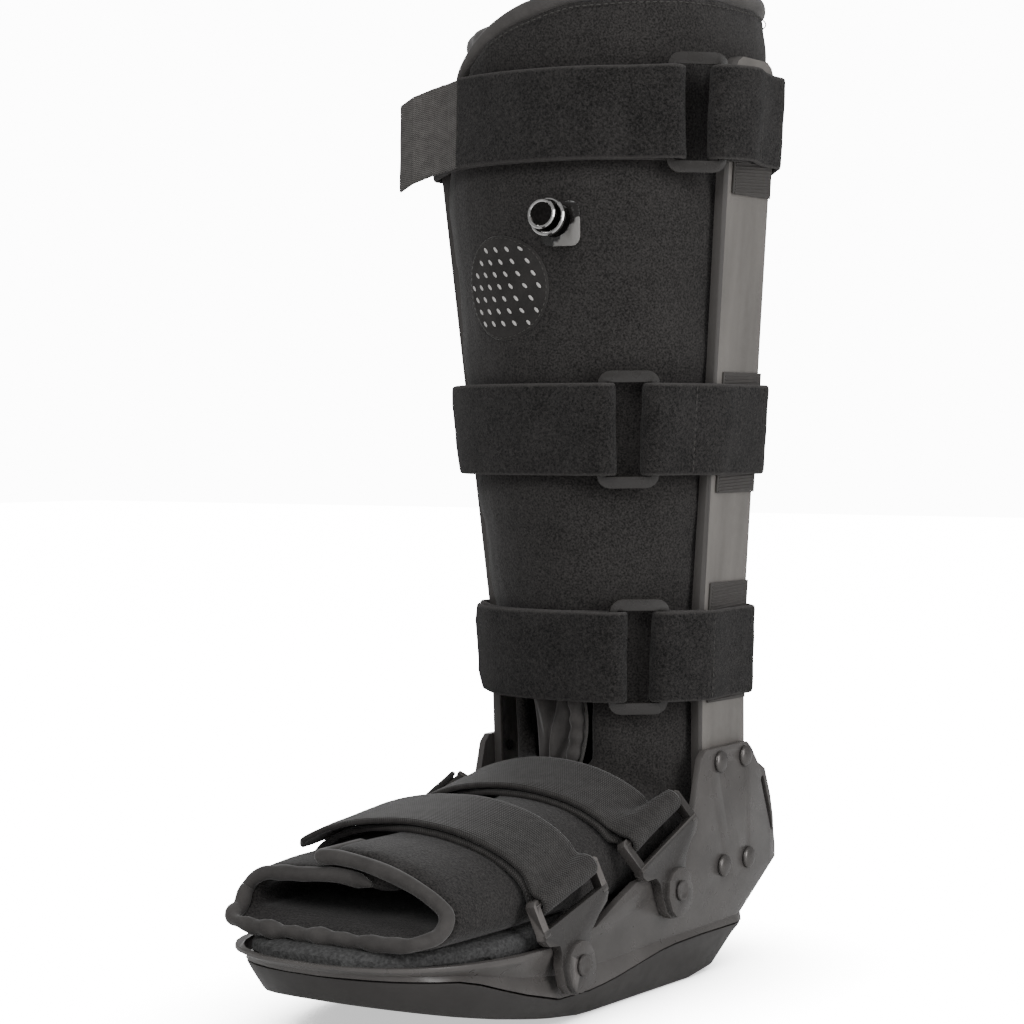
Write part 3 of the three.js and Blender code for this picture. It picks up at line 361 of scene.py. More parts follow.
def rounded_cells(tree, scale):
    """Height of small rounded cells on object coordinates."""
    where = node(tree, "ShaderNodeTexCoord").outputs["Object"]
    return node(tree, "ShaderNodeTexVoronoi", {"Vector": where, "Scale": scale}).outputs["Distance"]


CLOTH_GRID = 4  # mm between the points of an inflated piece
foam = puffed(remeshed(cad_copy("foam_footbed", "foam_pad"), CLOTH_GRID, 2), 2, 1.0)
foam_look, foam_tree, foam_shader = new_material("cut_foam", (0.09, 0.087, 0.085), 0.95)
foam_tree.links.new(clouded(foam_tree, 700, 4, 0.05, 0.12), foam_shader.inputs["Base Color"])
cells = rounded_cells(foam_tree, 900)
bump(foam_tree, foam_shader, (cells, 0.6, 0.5), (noise(foam_tree, 260, 5), 0.6, 0.9))
finish_piece(foam, ["foam_pad"], foam_look)


# Liner.
# One sheet of foam faced with brushed knit, wrapped round leg and foot and lapped at the front.
# The foam swells between its edges, and the straps press shallow bands into it.
pad_low, pad_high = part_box("foam_pad")
PAD_BEFORE_LEG = 217.0  # from the pad's front edge back to the leg's axis
AXIS_SHIFT = Vector(((pad_low.x + pad_high.x) / 2 / MM, pad_low.y / MM + PAD_BEFORE_LEG, 0))
LINER_LOW = 39.6
LEG_POWER = 2.25
# height, half width, front and back of the leg's outer face
LEG = [
    (39.6, 43, -40, 42),
    (47.6, 46.4, -44, 48.5),
    (60, 47.4, -46, 51),
    (112, 47.6, -50, 53),
    (166, 49.8, -56, 57),
    (207, 54.2, -63, 58.5),
    (256, 58.8, -67, 60),
    (325, 65.3, -73, 61),
    (372, 66.2, -72, 60.5),
    (419, 65.4, -69, 59),
]
# along the foot, half width, top, how far the ridge leans and how full the top's curve is
FOOT = [
    (-187, 51.4, 73, -6, 1.72),
    (-170, 51.6, 73.3, -5, 1.86),
    (-150, 51.2, 73.5, -3, 2.02),
    (-130, 50.4, 76.5, -2, 2.1),
    (-112, 50, 79.5, -1, 2.15),
    (-84, 49.2, 80.2, 0, 2.15),
    (-66, 48.4, 84, 0, 2.15),
    (-50, 47.8, 88, 0, 2.15),
    (-36, 47.4, 89.4, 0, 2.15),
    (-20, 47, 89.6, 0, 2.15),
    (4, 46, 88, 0, 2.15),
]
SOLE_POWER = 4.4
FOOT_WIDEST = 0.38
FOOT_WALL = 6
FOOT_OUTER, FOOT_INNER = -6, 392
FOOT_SINK_FROM, FOOT_SINK_TO = 295, 346
BINDING = 2.9
LIP_FORWARD = 15
LIP_SPREAD = 1.15
LIP_LEVEL = 0.3
# each strap's lower edge, upper edge, its ring's angle and where its free end stops
STRAPS = {
    "top": (342.4, 380.4, 57, -25),
    "middle": (213.6, 251.6, 36.5, -62),
    "low": (119, 157, 42.3, -62),
}


def read(rows, column, at):
    """Linear reading of a table's column at a value of its first column."""
    return float(np.interp(at, [row[0] for row in rows], [row[column] for row in rows]))


def power(value, exponent):
    return math.copysign(abs(value) ** exponent, value)


def placed(point):
    """From millimetres about the leg's axis to the boot's frame."""
    return (Vector(point) + AXIS_SHIFT) * MM


def leg_point(angle, depth, z):
    """Point on the leg's outer face, sunk by a depth; the angle runs from the front to the left."""
    half, front, back = (read(LEG, k, z) for k in (1, 2, 3))
    deep = (back - front) / 2
    turn = math.radians(angle)
    x = power(math.sin(turn), 2 / LEG_POWER)
    y = power(-math.cos(turn), 2 / LEG_POWER)
    slope = (power(x, LEG_POWER - 1) / half, power(y, LEG_POWER - 1) / deep, 0)
    across = Vector(slope).normalized()
    return Vector((half * x, (front + back) / 2 + deep * y, z)) - depth * across


true_liner = cad_copy("true_liner", "liner")
liner = remeshed(cad_copy("padded_liner", "liner"), CLOTH_GRID, 2, true_to=true_liner)
liner = puffed(liner, 4, 0.9)

SQUEEZE, SWELL_ABOVE, SWELL_BELOW = 0.9, 0.9, 0.7
SWELL_OFF, SWELL_WIDE = 13, 9
RIPPLE = 0.35
PRESS_FROM, PRESS_TO = 96, 408
FLAT_X, FLAT_Z, FLAT_WIDE = -8, 297, 38  # round the vent and the valve


def pressed(made):
    """Draws the leg in a little under each strap and swells it between, with shallow wrinkles."""
    points = vertex_table(made.data)
    z = points[:, 2] / MM
    centre = np.array([AXIS_SHIFT.x, AXIS_SHIFT.y]) * MM
    outward = points[:, :2] - centre
    reach = np.linalg.norm(outward, axis=1, keepdims=True)
    outward /= np.maximum(reach, 1e-6)
    squeeze = np.zeros(len(z))
    for low, high, *_ in STRAPS.values():
        middle, half = (low + high) / 2, (high - low) / 2
        squeeze -= SQUEEZE * np.exp(-(((z - middle) / (half * 1.05)) ** 4))
        squeeze += SWELL_ABOVE * np.exp(-(((z - high - SWELL_OFF) / SWELL_WIDE) ** 2))
        squeeze += SWELL_BELOW * np.exp(-(((z - low + SWELL_OFF) / SWELL_WIDE) ** 2))
    angle = np.arctan2(outward[:, 0], -outward[:, 1])
    ripple = RIPPLE * np.sin(z / 11 + 2.2 * np.sin(angle * 3)) * np.sin(angle * 2.0 + z / 60)
    fade = np.clip((z - PRESS_FROM) / 20, 0, 1) * np.clip((PRESS_TO - z) / 12, 0, 1)
    aside, above = points[:, 0] / MM - FLAT_X, z - FLAT_Z
    in_front = points[:, 1] < 0.045
    fade *= 1 - np.exp(-(((aside**2 + above**2) / FLAT_WIDE**2) ** 2)) * in_front
    points[:, :2] += outward * ((squeeze + ripple) * fade)[:, None] * MM
    return moved(made, points)


RIM_RAISED, RIM_FROM = 3.4, 355
TOE_RUN, TOE_STEP = 37, 1.5


def edged(made):
    """Carries the liner's raw edges into their bindings: up at the rim, forward under the toes."""
    points, normals = vertex_table(made.data), vertex_table(made.data, "normal")
    z = points[:, 2] / MM
    facing_up = np.clip((normals[:, 2] - 0.2) / 0.5, 0, 1)
    points[:, 2] += RIM_RAISED * MM * facing_up * (z > RIM_FROM)
    front, _, top = FOOT[0][:3]
    low = (top - LINER_LOW) * FOOT_WIDEST
    rise = z - LINER_LOW - low
    upper = np.clip(rise / (top - LINER_LOW - low), 0, 1) ** 0.86
    lower = np.clip(-rise / low, 0, 1) ** (SOLE_POWER / 2)
    under = np.clip((LIP_LEVEL - np.where(rise > 0, upper, -lower)) / LIP_SPREAD, 0, 1)
    near = np.clip((front + TOE_RUN - points[:, 1] / MM + AXIS_SHIFT.y) / TOE_RUN, 0, 1)
    lip = LIP_FORWARD * under**2 * (3 - 2 * under)
    points[:, 1] -= (lip + TOE_STEP) * near**2 * (3 - 2 * near) * MM
    return moved(made, points)


liner = subdivided(edged(pressed(liner)))


def sheened(shader, weight, spread, shine):
    """Sets the soft sheen of a cloth and how much it shines."""
    shader.inputs["Sheen Weight"].default_value = weight
    shader.inputs["Sheen Roughness"].default_value = spread
    shader.inputs["Specular IOR Level"].default_value = shine


def blended(tree, main, share, other):
    """Mostly one pattern, with a share of another."""
    return maths(tree, "MULTIPLY_ADD", main, 1 - share, maths(tree, "MULTIPLY", other, share))


def pile(name, dark, light, size, relief, sheen):
    """Short brushed pile: a fine speckle of dark roots and paler tips that catches the light."""
    made, tree, shader = new_material(name, dark, 0.95)
    speckle = noise(tree, 1000 / size, 3, 0.65)
    tone = blended(tree, speckle, 0.12, noise(tree, 45, 3))
    tree.links.new(ramp(tree, tone, [(0.36, dark), (0.62, light)]), shader.inputs["Base Color"])
    sheened(shader, sheen, 0.5, 0.2)
    bump(tree, shader, (speckle, 0.7, relief), (noise(tree, 400 / size, 2), 0.4, relief * 1.5))
    return made


liner_pile = pile("liner_pile", (0.012, 0.0112, 0.0108), (0.06, 0.056, 0.054), 0.8, 0.35, 0.2)
finish_piece(liner, ["liner"], liner_pile)


# Collar.
# A smooth knit band folded over the liner's top edge and sewn down all the way round.
# It runs level round the back and falls towards the front, where the outer flap ends.
LAP_OUTER, LAP_INNER = -50, 392
SINK_FROM, SINK_TO = 275, 308
LINER_WALL = 8
LAP_AIR = 0.8
RIM_HIGH = 418
RIM_CROWN, FRONT_FALL, INNER_FALL = 4, 38, 13
COLLAR_TALL = 8


def turned_outwards(mesh):
    """Makes every face of a closed mesh point outwards."""
    shell = bmesh.new()
    shell.from_mesh(mesh)
    bmesh.ops.recalc_face_normals(shell, faces=shell.faces)
    shell.to_mesh(mesh)
    shell.free()


def grid_solid(name, rings, uvs=None):
    """Skin over equal closed rings of points in metres, its two ends capped by strips."""
    count = len(rings[0])
    points = [tuple(p) for ring in rings for p in ring]
    faces = []
    for r in range(len(rings) - 1):
        for i in range(count):
            j = (i + 1) % count
            faces.append((r * count + i, r * count + j, (r + 1) * count + j, (r + 1) * count + i))
    for start, flip in ((0, True), ((len(rings) - 1) * count, False)):
        for i in range(count // 2 - 1):
            quad = (start + i, start + i + 1, start + count - 2 - i, start + count - 1 - i)
            faces.append(quad if flip else quad[::-1])
    mesh = bpy.data.meshes.new(name)
    mesh.from_pydata(points, [], faces)
    if uvs is not None:
        layer = mesh.uv_layers.new(name="cloth")
        flat = [uv for ring in uvs for uv in ring]
        for loop in mesh.loops:
            layer.data[loop.index].uv = flat[loop.vertex_index]
    mesh.update()
    turned_outwards(mesh)
    mesh.polygons.foreach_set("use_smooth", [True] * len(mesh.polygons))
    return linked(name, mesh)


def eased_share(value):
    value = min(1.0, max(0.0, value))
    return value * value * (3 - 2 * value)


def rim_at(angle):
    """Height of the liner's rim: level round the back, falling towards the outer edge in front."""
    if angle < 60:
        fall = RIM_CROWN * math.sin(math.radians(60 - angle) * 180 / 220)
        return RIM_HIGH - fall - FRONT_FALL * max(0.0, (20 - angle) / 70) ** 1.7
    return RIM_HIGH - INNER_FALL * min(1.0, max(0.0, (angle - 180) / 90))


def flap_sink(angle):
    """How deep the inner flap lies under the outer one at an angle."""
    return eased_share((angle - SINK_FROM) / (SINK_TO - SINK_FROM)) * (LINER_WALL + LAP_AIR)


def collar_section(angle, turn):
    """Point on the collar's oval section at one angle round the leg."""
    middle = flap_sink(angle) + LINER_WALL / 2
    half = LINER_WALL / 2 + 0.35
    tall = COLLAR_TALL / 2 + 0.2
    x = power(math.cos(turn), 0.8) * half
    z = power(math.sin(turn), 0.8) * tall
    wave = 0.35 * math.sin(angle / 9.0) * math.sin(angle / 23.0)
    return leg_point(angle, middle - x, rim_at(angle) - COLLAR_TALL / 2 - 0.2 + z + wave)


COLLAR_STEPS, COLLAR_SIDES = 230, 20
collar_rings = []
for k in range(COLLAR_STEPS + 1):
    angle = LAP_OUTER + 1 + (LAP_INNER - LAP_OUTER - 1) * k / COLLAR_STEPS
    pinch = min(1.0, 0.35 + 24 * min(k, COLLAR_STEPS - k) / COLLAR_STEPS)
    turns = [(i + 0.5) / COLLAR_SIDES * 2 * math.pi for i in range(COLLAR_SIDES)]
    ring = [placed(collar_section(angle, turn)) for turn in turns]
    centre = sum(ring, Vector()) / COLLAR_SIDES
    collar_rings.append([centre + (p - centre) * pinch for p in ring])
collar = grid_solid("knit_collar", collar_rings)


def knit(name, dark, light, rib=0.9, relief=0.12):
    """Smooth fine knit: tiny loops with a soft sheen and faint cloudy tone."""
    made, tree, shader = new_material(name, dark, 0.85)
    tree.links.new(clouded(tree, 70, 5, dark, light, 0.6), shader.inputs["Base Color"])
    sheened(shader, 0.4, 0.4, 0.25)
    loops = rounded_cells(tree, 1000 / rib)
    bump(tree, shader, (loops, 0.35, relief), (noise(tree, 220, 4), 0.35, 0.3))
    return made


knit_look = knit("collar_knit", (0.085, 0.08, 0.077), (0.13, 0.123, 0.118))
finish_piece(collar, ["liner_collar"], knit_look)


def repeated(name, points, outs, look, sizes, edges=(), alongs=None, rod=False):
    """Repeats a small bar by a node tree, along lines at a pitch or at each point given an along.

    Points are in metres and sizes in millimetres: pitch along the line, then the bar's length
    along it, its width across, its thickness outwards and how deep it is sunk.
    """
    mesh = bpy.data.meshes.new(name)
    mesh.from_pydata([tuple(p) for p in points], edges, [])
    for label, column in (("out", outs), ("along", alongs)):
        if column is not None:
            layer = mesh.attributes.new(label, "FLOAT_VECTOR", "POINT")
            layer.data.foreach_set("vector", np.array([tuple(v) for v in column]).ravel())
    made = linked(name, mesh)
    tree = bar_tree("line" if alongs is None else "points", rod)
    modifier = made.modifiers.new("bars", "NODES")
    modifier.node_group = tree
    given = {label: value * MM for label, value in sizes.items()} | {"Finish": look}
    for item in tree.interface.items_tree:
        if item.item_type == "SOCKET" and item.in_out == "INPUT" and item.name in given:
            modifier[item.identifier] = given[item.name]
    return plain_mesh(made)


def along_lines(name, lines, look, sizes, rod=False):
    """Bars along lines of (point, outward direction)."""
    points, outs, edges = [], [], []
    for line in lines:
        edges += [(len(points) + i, len(points) + i + 1) for i in range(len(line) - 1)]
        points += [p for p, _ in line]
        outs += [o for _, o in line]
    return repeated(name, points, outs, look, sizes, edges=edges, rod=rod)


def bar_tree(layout, rod):
    """Node tree: a bar at every point, turned along its line or its own direction, and outwards."""
    label = f"bars_on_{layout}_{'rods' if rod else 'beads'}"
    if label in bpy.data.node_groups:
        return bpy.data.node_groups[label]
    tree = bpy.data.node_groups.new(label, "GeometryNodeTree")
    face = tree.interface
    face.new_socket("Geometry", in_out="INPUT", socket_type="NodeSocketGeometry")
    for size in ("Pitch", "Length", "Width", "Thickness", "Sink"):
        face.new_socket(size, in_out="INPUT", socket_type="NodeSocketFloat")
    face.new_socket("Finish", in_out="INPUT", socket_type="NodeSocketMaterial")
    face.new_socket("Geometry", in_out="OUTPUT", socket_type="NodeSocketGeometry")
    given = tree.nodes.new("NodeGroupInput").outputs

    def attribute(label):
        kind = "GeometryNodeInputNamedAttribute"
        return node(tree, kind, {"Name": label}, data_type="FLOAT_VECTOR").outputs[0]

    def shaped(kind, geometry, **inputs):
        return node(tree, f"GeometryNode{kind}", {"Geometry": geometry, **inputs}).outputs[0]

    outward = attribute("out")
    if layout == "line":
        curve = node(tree, "GeometryNodeMeshToCurve", {"Mesh": given["Geometry"]}).outputs[0]
        spacing = {"Curve": curve, "Length": given["Pitch"]}
        seats = node(tree, "GeometryNodeResampleCurve", spacing, mode="LENGTH").outputs[0]
        direction = node(tree, "GeometryNodeInputTangent").outputs[0]
    else:
        seats = given["Geometry"]
        direction = attribute("along")
    align = "FunctionNodeAlignRotationToVector"
    turned = node(tree, align, {"Vector": direction}, axis="X").outputs[0]
    upright = {"Rotation": turned, "Vector": outward}
    facing = node(tree, align, upright, axis="Z", pivot_axis="X").outputs[0]
    if rod:
        sizes = {"Vertices": 8, "Radius": 0.5, "Depth": 1.0}
        stick = node(tree, "GeometryNodeMeshCylinder", sizes).outputs["Mesh"]
        bar = shaped("Transform", stick, Rotation=(math.pi / 2, 0, 0))
    else:
        sizes = {"Segments": 8, "Rings": 6, "Radius": 0.5}
        bar = node(tree, "GeometryNodeMeshUVSphere", sizes).outputs[0]
    sizes = {"X": given["Length"], "Y": given["Width"], "Z": given["Thickness"]}
    size = node(tree, "ShaderNodeCombineXYZ", sizes).outputs[0]
    down = maths(tree, "MULTIPLY", given["Sink"], -1.0)
    sinking = {0: outward, "Scale": down}
    offset = node(tree, "ShaderNodeVectorMath", sinking, operation="SCALE").outputs[0]
    copies = {
        "Points": shaped("SetPosition", seats, Offset=offset),
        "Instance": shaped("Transform", bar, Scale=size),
        "Rotation": facing,
    }
    bars = node(tree, "GeometryNodeInstanceOnPoints", copies).outputs[0]
    smooth = shaped("SetShadeSmooth", shaped("RealizeInstances", bars), **{"Shade Smooth": not rod})
    painted = shaped("SetMaterial", smooth, Material=given["Finish"])
    node(tree, "NodeGroupOutput", {"Geometry": painted})
    return tree


def added(made):
    """A small piece that stands for no CAD node of its own and moves with the boot."""
    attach(made, "root")
    return made


STITCH = {"Pitch": 2.9, "Length": 2.2, "Width": 0.7, "Thickness": 0.6, "Sink": 0.0}


def leg_line(first, last, height, lift, steps=120):
    """A line round the leg with its outward directions; height is a function of the angle."""
    line = []
    for k in range(steps + 1):
        angle = first + (last - first) * k / steps
        z = height(angle)
        out = (leg_point(angle, -1, z) - leg_point(angle, 0, z)).normalized()
        line.append((placed(leg_point(angle, flap_sink(angle) - lift, z)), out))
    return line


thread = new_material("dark_thread", (0.07, 0.066, 0.063), 0.7)[0]
below_collar = leg_line(-48, 300, lambda angle: rim_at(angle) - COLLAR_TALL - 2.2, 0.35)
added(along_lines("collar_seam", [below_collar], thread, STITCH))


# Toe binding.
# Knit tape rolled round the raw edge of the foot's flaps and of the toe opening.
# It is gathered a little, so small folds run across it along the lower lip.
def foot_point(angle, depth, y):
    """Point on the foot's outer face, sunk by a depth; the angle runs from the top to the left."""
    half, top, peak, full = (read(FOOT, k, y) for k in (1, 2, 3, 4))
    whole = top - LINER_LOW
    sx, sz = math.sin(math.radians(angle)), math.cos(math.radians(angle))
    full = full if sz > 0 else SOLE_POWER
    tall = whole * ((1 - FOOT_WIDEST) if sz > 0 else FOOT_WIDEST)
    x, z = power(sx, 2 / full), power(sz, 2 / full)
    out = Vector((power(x, full - 1) / half, 0, power(z, full - 1) / tall)).normalized()
    shift = peak * z if sz > 0 else 0
    return Vector((half * x + shift, y, LINER_LOW + whole * FOOT_WIDEST + tall * z)) - depth * out


def smooth_line(points, spacing):
    """A Catmull-Rom line through points, resampled to an even spacing in mm."""
    points = [Vector(p) for p in points]
    ends = [2 * points[0] - points[1], *points, 2 * points[-1] - points[-2]]
    fine = []
    for a, b, c, d in zip(ends, ends[1:], ends[2:], ends[3:]):
        knots = [0.0]
        for p, q in ((a, b), (b, c), (c, d)):
            knots.append(knots[-1] + max(1e-4, (q - p).length) ** 0.5)
        for k in range(8):
            t = knots[1] + (knots[2] - knots[1]) * k / 8
            level = [a, b, c, d]
            for reach in (1, 2):
                ends_at = zip(level, level[1:], knots, knots[reach:])
                level = [p + (q - p) * ((t - k0) / (k1 - k0)) for p, q, k0, k1 in ends_at]
            fine.append(level[0] + (level[1] - level[0]) * ((t - knots[1]) / (knots[2] - knots[1])))
    fine.append(points[-1])
    return even_line(fine, spacing)


def even_line(points, spacing):
    """The same line with points at an even spacing."""
    table = np.array([tuple(p) for p in points])
    steps = np.linalg.norm(np.diff(table, axis=0), axis=1)
    length = np.concatenate([[0], np.cumsum(steps)])
    count = max(4, int(round(length[-1] / spacing)))
    at = np.linspace(0, length[-1], count + 1)
    columns = [np.interp(at, length, table[:, k]) for k in range(3)]
    return [Vector(p) for p in zip(*columns)]


def tube_rings(line, radius, sides=14):
    """Rings of a round tube along a line, in metres; radius is a function of share and turn."""
    spans = zip([line[0], *line[:-1]], [*line[1:], line[-1]])
    tangents = [(after - before).normalized() for before, after in spans]
    side = tangents[0].orthogonal().normalized()
    rings = []
    for i, (centre, along) in enumerate(zip(line, tangents)):
        side = (side - along * side.dot(along)).normalized()
        up = along.cross(side)
        share = i / (len(line) - 1)
        ring = []
        for k in range(sides):
            turn = k / sides * 2 * math.pi
            spoke = side * math.cos(turn) + up * math.sin(turn)
            ring.append(placed(centre + spoke * radius(share, turn)))
        rings.append(ring)
    return rings


def binding_line():
    y = FOOT[0][0]
    middle = FOOT_WALL / 2
    path = [foot_point(FOOT_OUTER - 5.5, middle, y + behind) for behind in (30, 14, 1)]
    path.append(foot_point(FOOT_OUTER - 2.5, middle, y - BINDING - 1))
    first, last = FOOT_OUTER + 8, FOOT_INNER - 6
    for k in range(31):
        angle = first + (last - first) * k / 30
        share = eased_share((LIP_LEVEL - math.cos(math.radians(angle))) / LIP_SPREAD)
        under = eased_share((angle - FOOT_SINK_FROM) / (FOOT_SINK_TO - FOOT_SINK_FROM))
        point = foot_point(angle, under * (FOOT_WALL + LAP_AIR) + middle, y)
        point.y -= BINDING + 0.3 + LIP_FORWARD * share
        path.append(point)
    return smooth_line(path, 0.9)


def gathered(share, turn):
    """Radius of the binding: even along the flap, gathered into small folds under the toes."""
    lip = math.exp(-(((share - 0.62) / 0.2) ** 2))
    folds = 0.45 * math.sin(share * 150 + 1.5 * math.sin(turn)) + 0.35 * math.sin(share * 67 + 2)
    ends = min(1.0, 0.3 + 30 * min(share, 1 - share))
    return (BINDING + 0.12 * math.sin(share * 60) + lip * folds) * ends


binding = grid_solid("toe_binding_tape", tube_rings(binding_line(), gathered))
binding_look = knit("binding_knit", (0.06, 0.056, 0.054), (0.105, 0.099, 0.095))
finish_piece(binding, ["toe_binding"], binding_look)


# Ankle gusset.
# A soft tongue of padded knit folded into the opening above the instep, beside a rolled hem
# with a thin piping line sewn along the outer flap.
ANKLE_LOW, ANKLE_HIGH = 86, 127
GUSSET_LEFT, GUSSET_SPREAD, GUSSET_RIGHT = -12, 6, 11
GUSSET_THICK = 5.5


def crease(distance, width):
    """A narrow valley's depth, from 1 on its line to 0 beside it."""
    return math.exp(-((distance / width) ** 2))


def gusset_point(share, rise, thick):
    """Point on the gusset: share across it, rise up it, thick from its face to its lining."""
    left = GUSSET_LEFT - GUSSET_SPREAD * rise
    angle = left + (GUSSET_RIGHT - left) * share + 2 * math.sin(rise * math.pi) * (1 - share)
    folds = 1.1 * math.sin((share + 0.35 * rise) * 13.5)
    folds -= 3.4 * crease(share - 0.22 - 0.42 * rise, 0.06)
    folds -= 2.6 * crease(share - 0.45 - 0.75 * rise, 0.05)
    edge = math.sin(math.pi * min(1.0, max(0.0, share))) ** 0.5
    depth = 6.0 - 4.7 * edge - folds * edge + thick * GUSSET_THICK * max(0.15, edge)
    z = ANKLE_LOW + (ANKLE_HIGH - ANKLE_LOW) * rise
    return leg_point(angle, depth, z)


gusset_rings = []
for k in range(31):
    rise = k / 30
    face = [placed(gusset_point(i / 40, rise, 0.0)) for i in range(41)]
    lining = [placed(gusset_point(i / 40, rise, 1.0)) for i in range(41)]
    gusset_rings.append([*face, *lining[::-1]])
gusset = grid_solid("folded_gusset", gusset_rings)
gusset_knit = knit("gusset_knit", (0.062, 0.058, 0.056), (0.105, 0.099, 0.096))
finish_piece(gusset, ["ankle_gusset"], gusset_knit)


def ankle_line(start, depth, low):
    """A line up the front of the ankle that bows towards the left side at mid height."""
    line = []
    for k in range(41):
        rise = k / 40
        bow = HEM_BOW * math.sin(math.pi * (0.25 + 0.65 * (1 - rise)))
        line.append(leg_point(start + bow, depth, low + (ANKLE_HIGH - 1 - low) * rise))
    return line


HEM_BOW = 8.5
HEM_RADIUS, PIPING_RADIUS = 3.3, 0.65
hem_tube = tube_rings(ankle_line(3.5, 1.5, 87), lambda s, t: HEM_RADIUS + 0.35 * math.sin(s * 34))
hem = grid_solid("ankle_hem", hem_tube)
hem.data.materials.append(binding_look)
added(hem)
piping_tube = tube_rings(ankle_line(9, -0.1, 88), lambda s, t: PIPING_RADIUS, 8)
piping = grid_solid("ankle_piping", piping_tube)
piping.data.materials.append(binding_look)
added(piping)


# Uprights.
# Shallow channels pressed from light alloy and painted a warm grey, riveted inside the side plates.
# Every face not turned sideways is painted darker, as painted shade on their turned edges.
SIDES = ("left", "right")
upright_names = [f"upright_{side}" for side in SIDES]
uprights = eased(cad_copy("side_uprights", *upright_names), 0.5)
upright_paint, paint_tree, paint_shader = new_material("upright_paint", (0.24, 0.225, 0.21), 0.5)
surface = node(paint_tree, "ShaderNodeTexCoord").outputs["Normal"]
sideways = node(paint_tree, "ShaderNodeSeparateXYZ", {"Vector": surface}).outputs["X"]
flatness = maths(paint_tree, "ABSOLUTE", sideways)
brush = noise(paint_tree, 120, 4, stretch=(1, 1, 0.12))
face_tone = ramp(paint_tree, brush, [(0.3, (0.2, 0.187, 0.175)), (0.7, (0.255, 0.238, 0.222))])
# Faces not turned sideways, the channel's edges and walls, take a darker colour: painted shade.
lit_side_share = ramp(paint_tree, flatness, [(0.8, 0.0), (0.95, 1.0)])
upright_tone_with_painted_shade = mix_colour(paint_tree, lit_side_share, (0.09, 0.084, 0.08), face_tone)
paint_tree.links.new(upright_tone_with_painted_shade, paint_shader.inputs["Base Color"])
paint_tree.links.new(clouded(paint_tree, 250, 4, 0.44, 0.6), paint_shader.inputs["Roughness"])
bump(paint_tree, paint_shader, (noise(paint_tree, 3000, 2), 0.25, 0.04))
finish_piece(uprights, upright_names, upright_paint)


# Grip patches.
# Moulded rubber pads on the uprights behind the straps.
# Fine ribs run across them, so that the straps can't slide down.
# height, half width to the upright's outer face, and its middle from front to back
UPRIGHT = [
    (41.5, 53.6, 3.5),
    (103, 53.6, 1.7),
    (150, 54.6, 0.6),
    (207, 60.2, -2.3),
    (256, 64.7, -4.4),
    (325, 71.4, -9.6),
    (374, 76, -12.4),
    (386, 77, -13),
]
CHANNEL_WIDE = 38
GRIP_THICK = 0.9
GAP = 0.3
RIBS_BACK = 1.35  # the ribs sit this far behind the upright's middle
RIBS = {"Pitch": 1.35, "Length": 0.75, "Width": CHANNEL_WIDE - 8, "Thickness": 0.9, "Sink": 0.12}
grip_rubber = moulded("grip_rubber", (0.06, 0.056, 0.053), 0.6, grain=0.3, edges=1.4)
for grip_name, low, high in (("top", 330, 374), ("middle", 206, 256.6), ("low", 117, 168)):
    names = [f"grip_patch_{grip_name}_{side}" for side in SIDES]
    pads = eased(cad_copy(f"grip_pads_{grip_name}", *names), 0.25)
    finish_piece(pads, names, grip_rubber)
    lines = []
    for side in (1, -1):
        line = []
        for k in range(21):
            z = low + 1.2 + (high - low - 2.4) * k / 20
            out = read(UPRIGHT, 1, z) + 0.7 * GAP + GRIP_THICK
            middle = read(UPRIGHT, 2, z) + RIBS_BACK
            line.append((placed((side * out, middle, z)), Vector((side, 0, 0))))
        lines.append(line)
    added(along_lines(f"grip_ribs_{grip_name}", lines, grip_rubber, RIBS, rod=True))


# Rivets.
# Domed steel heads, blackened and satin; each pair clamps a side plate to its upright.
# along the foot and up from the floor
RIVETS = {
    "upper_front": (-6.8, 91.7),
    "upper_rear": (14.5, 92.2),
    "lower_front": (-3.9, 47),
    "lower_rear": (17.3, 47.8),
}
PLATE_OUT = 57


def turned_solid(name, profile, base, direction, sides=32):
    """Turns a profile of (radius, height) pairs, in mm, about an axis through a point in metres."""
    axis = Vector(direction).normalized()
    side = axis.orthogonal().normalized()
    up = axis.cross(side)
    points, faces = [], []
    for radius, height in profile:
        for k in range(sides):
            turn = k / sides * 2 * math.pi
            offset = (side * math.cos(turn) + up * math.sin(turn)) * max(radius, 1e-3)
            points.append(tuple(base + (axis * height + offset) * MM))
    for r in range(len(profile) - 1):
        for k in range(sides):
            j = (k + 1) % sides
            faces.append((r * sides + k, r * sides + j, (r + 1) * sides + j, (r + 1) * sides + k))
    faces.append(tuple(range(sides))[::-1])
    faces.append(tuple(range((len(profile) - 1) * sides, len(profile) * sides)))
    mesh = bpy.data.meshes.new(name)
    mesh.from_pydata(points, [], faces)
    turned_outwards(mesh)
    made = linked(name, mesh)
    smooth_by_angle(made, 35)
    return made


def joined(name, parts):
    """Joins pieces into one object."""
    whole = bmesh.new()
    for part in parts:
        whole.from_mesh(part.data)
        bpy.data.objects.remove(part)
    mesh = bpy.data.meshes.new(name)
    whole.to_mesh(mesh)
    whole.free()
    made = linked(name, mesh)
    smooth_by_angle(made, 35)
    return made


rivet_steel, rivet_tree, rivet_shader = new_material("rivet_steel", (0.16, 0.15, 0.145), 0.33, 0.75)
rivet_tree.links.new(clouded(rivet_tree, 900, 4, 0.26, 0.44), rivet_shader.inputs["Roughness"])
bump(rivet_tree, rivet_shader, (noise(rivet_tree, 1500, 3), 0.2, 0.05))
DOME = [
    *((0, -6.4), (2.1, -6.4), (2.1, 0.3)),
    *((4.3, 0.3), (4.6, 0.45), (4.65, 0.9), (4.45, 1.3), (3.9, 1.75)),
    *((3.0, 2.15), (1.8, 2.42), (0.8, 2.5), (0, 2.5)),
]


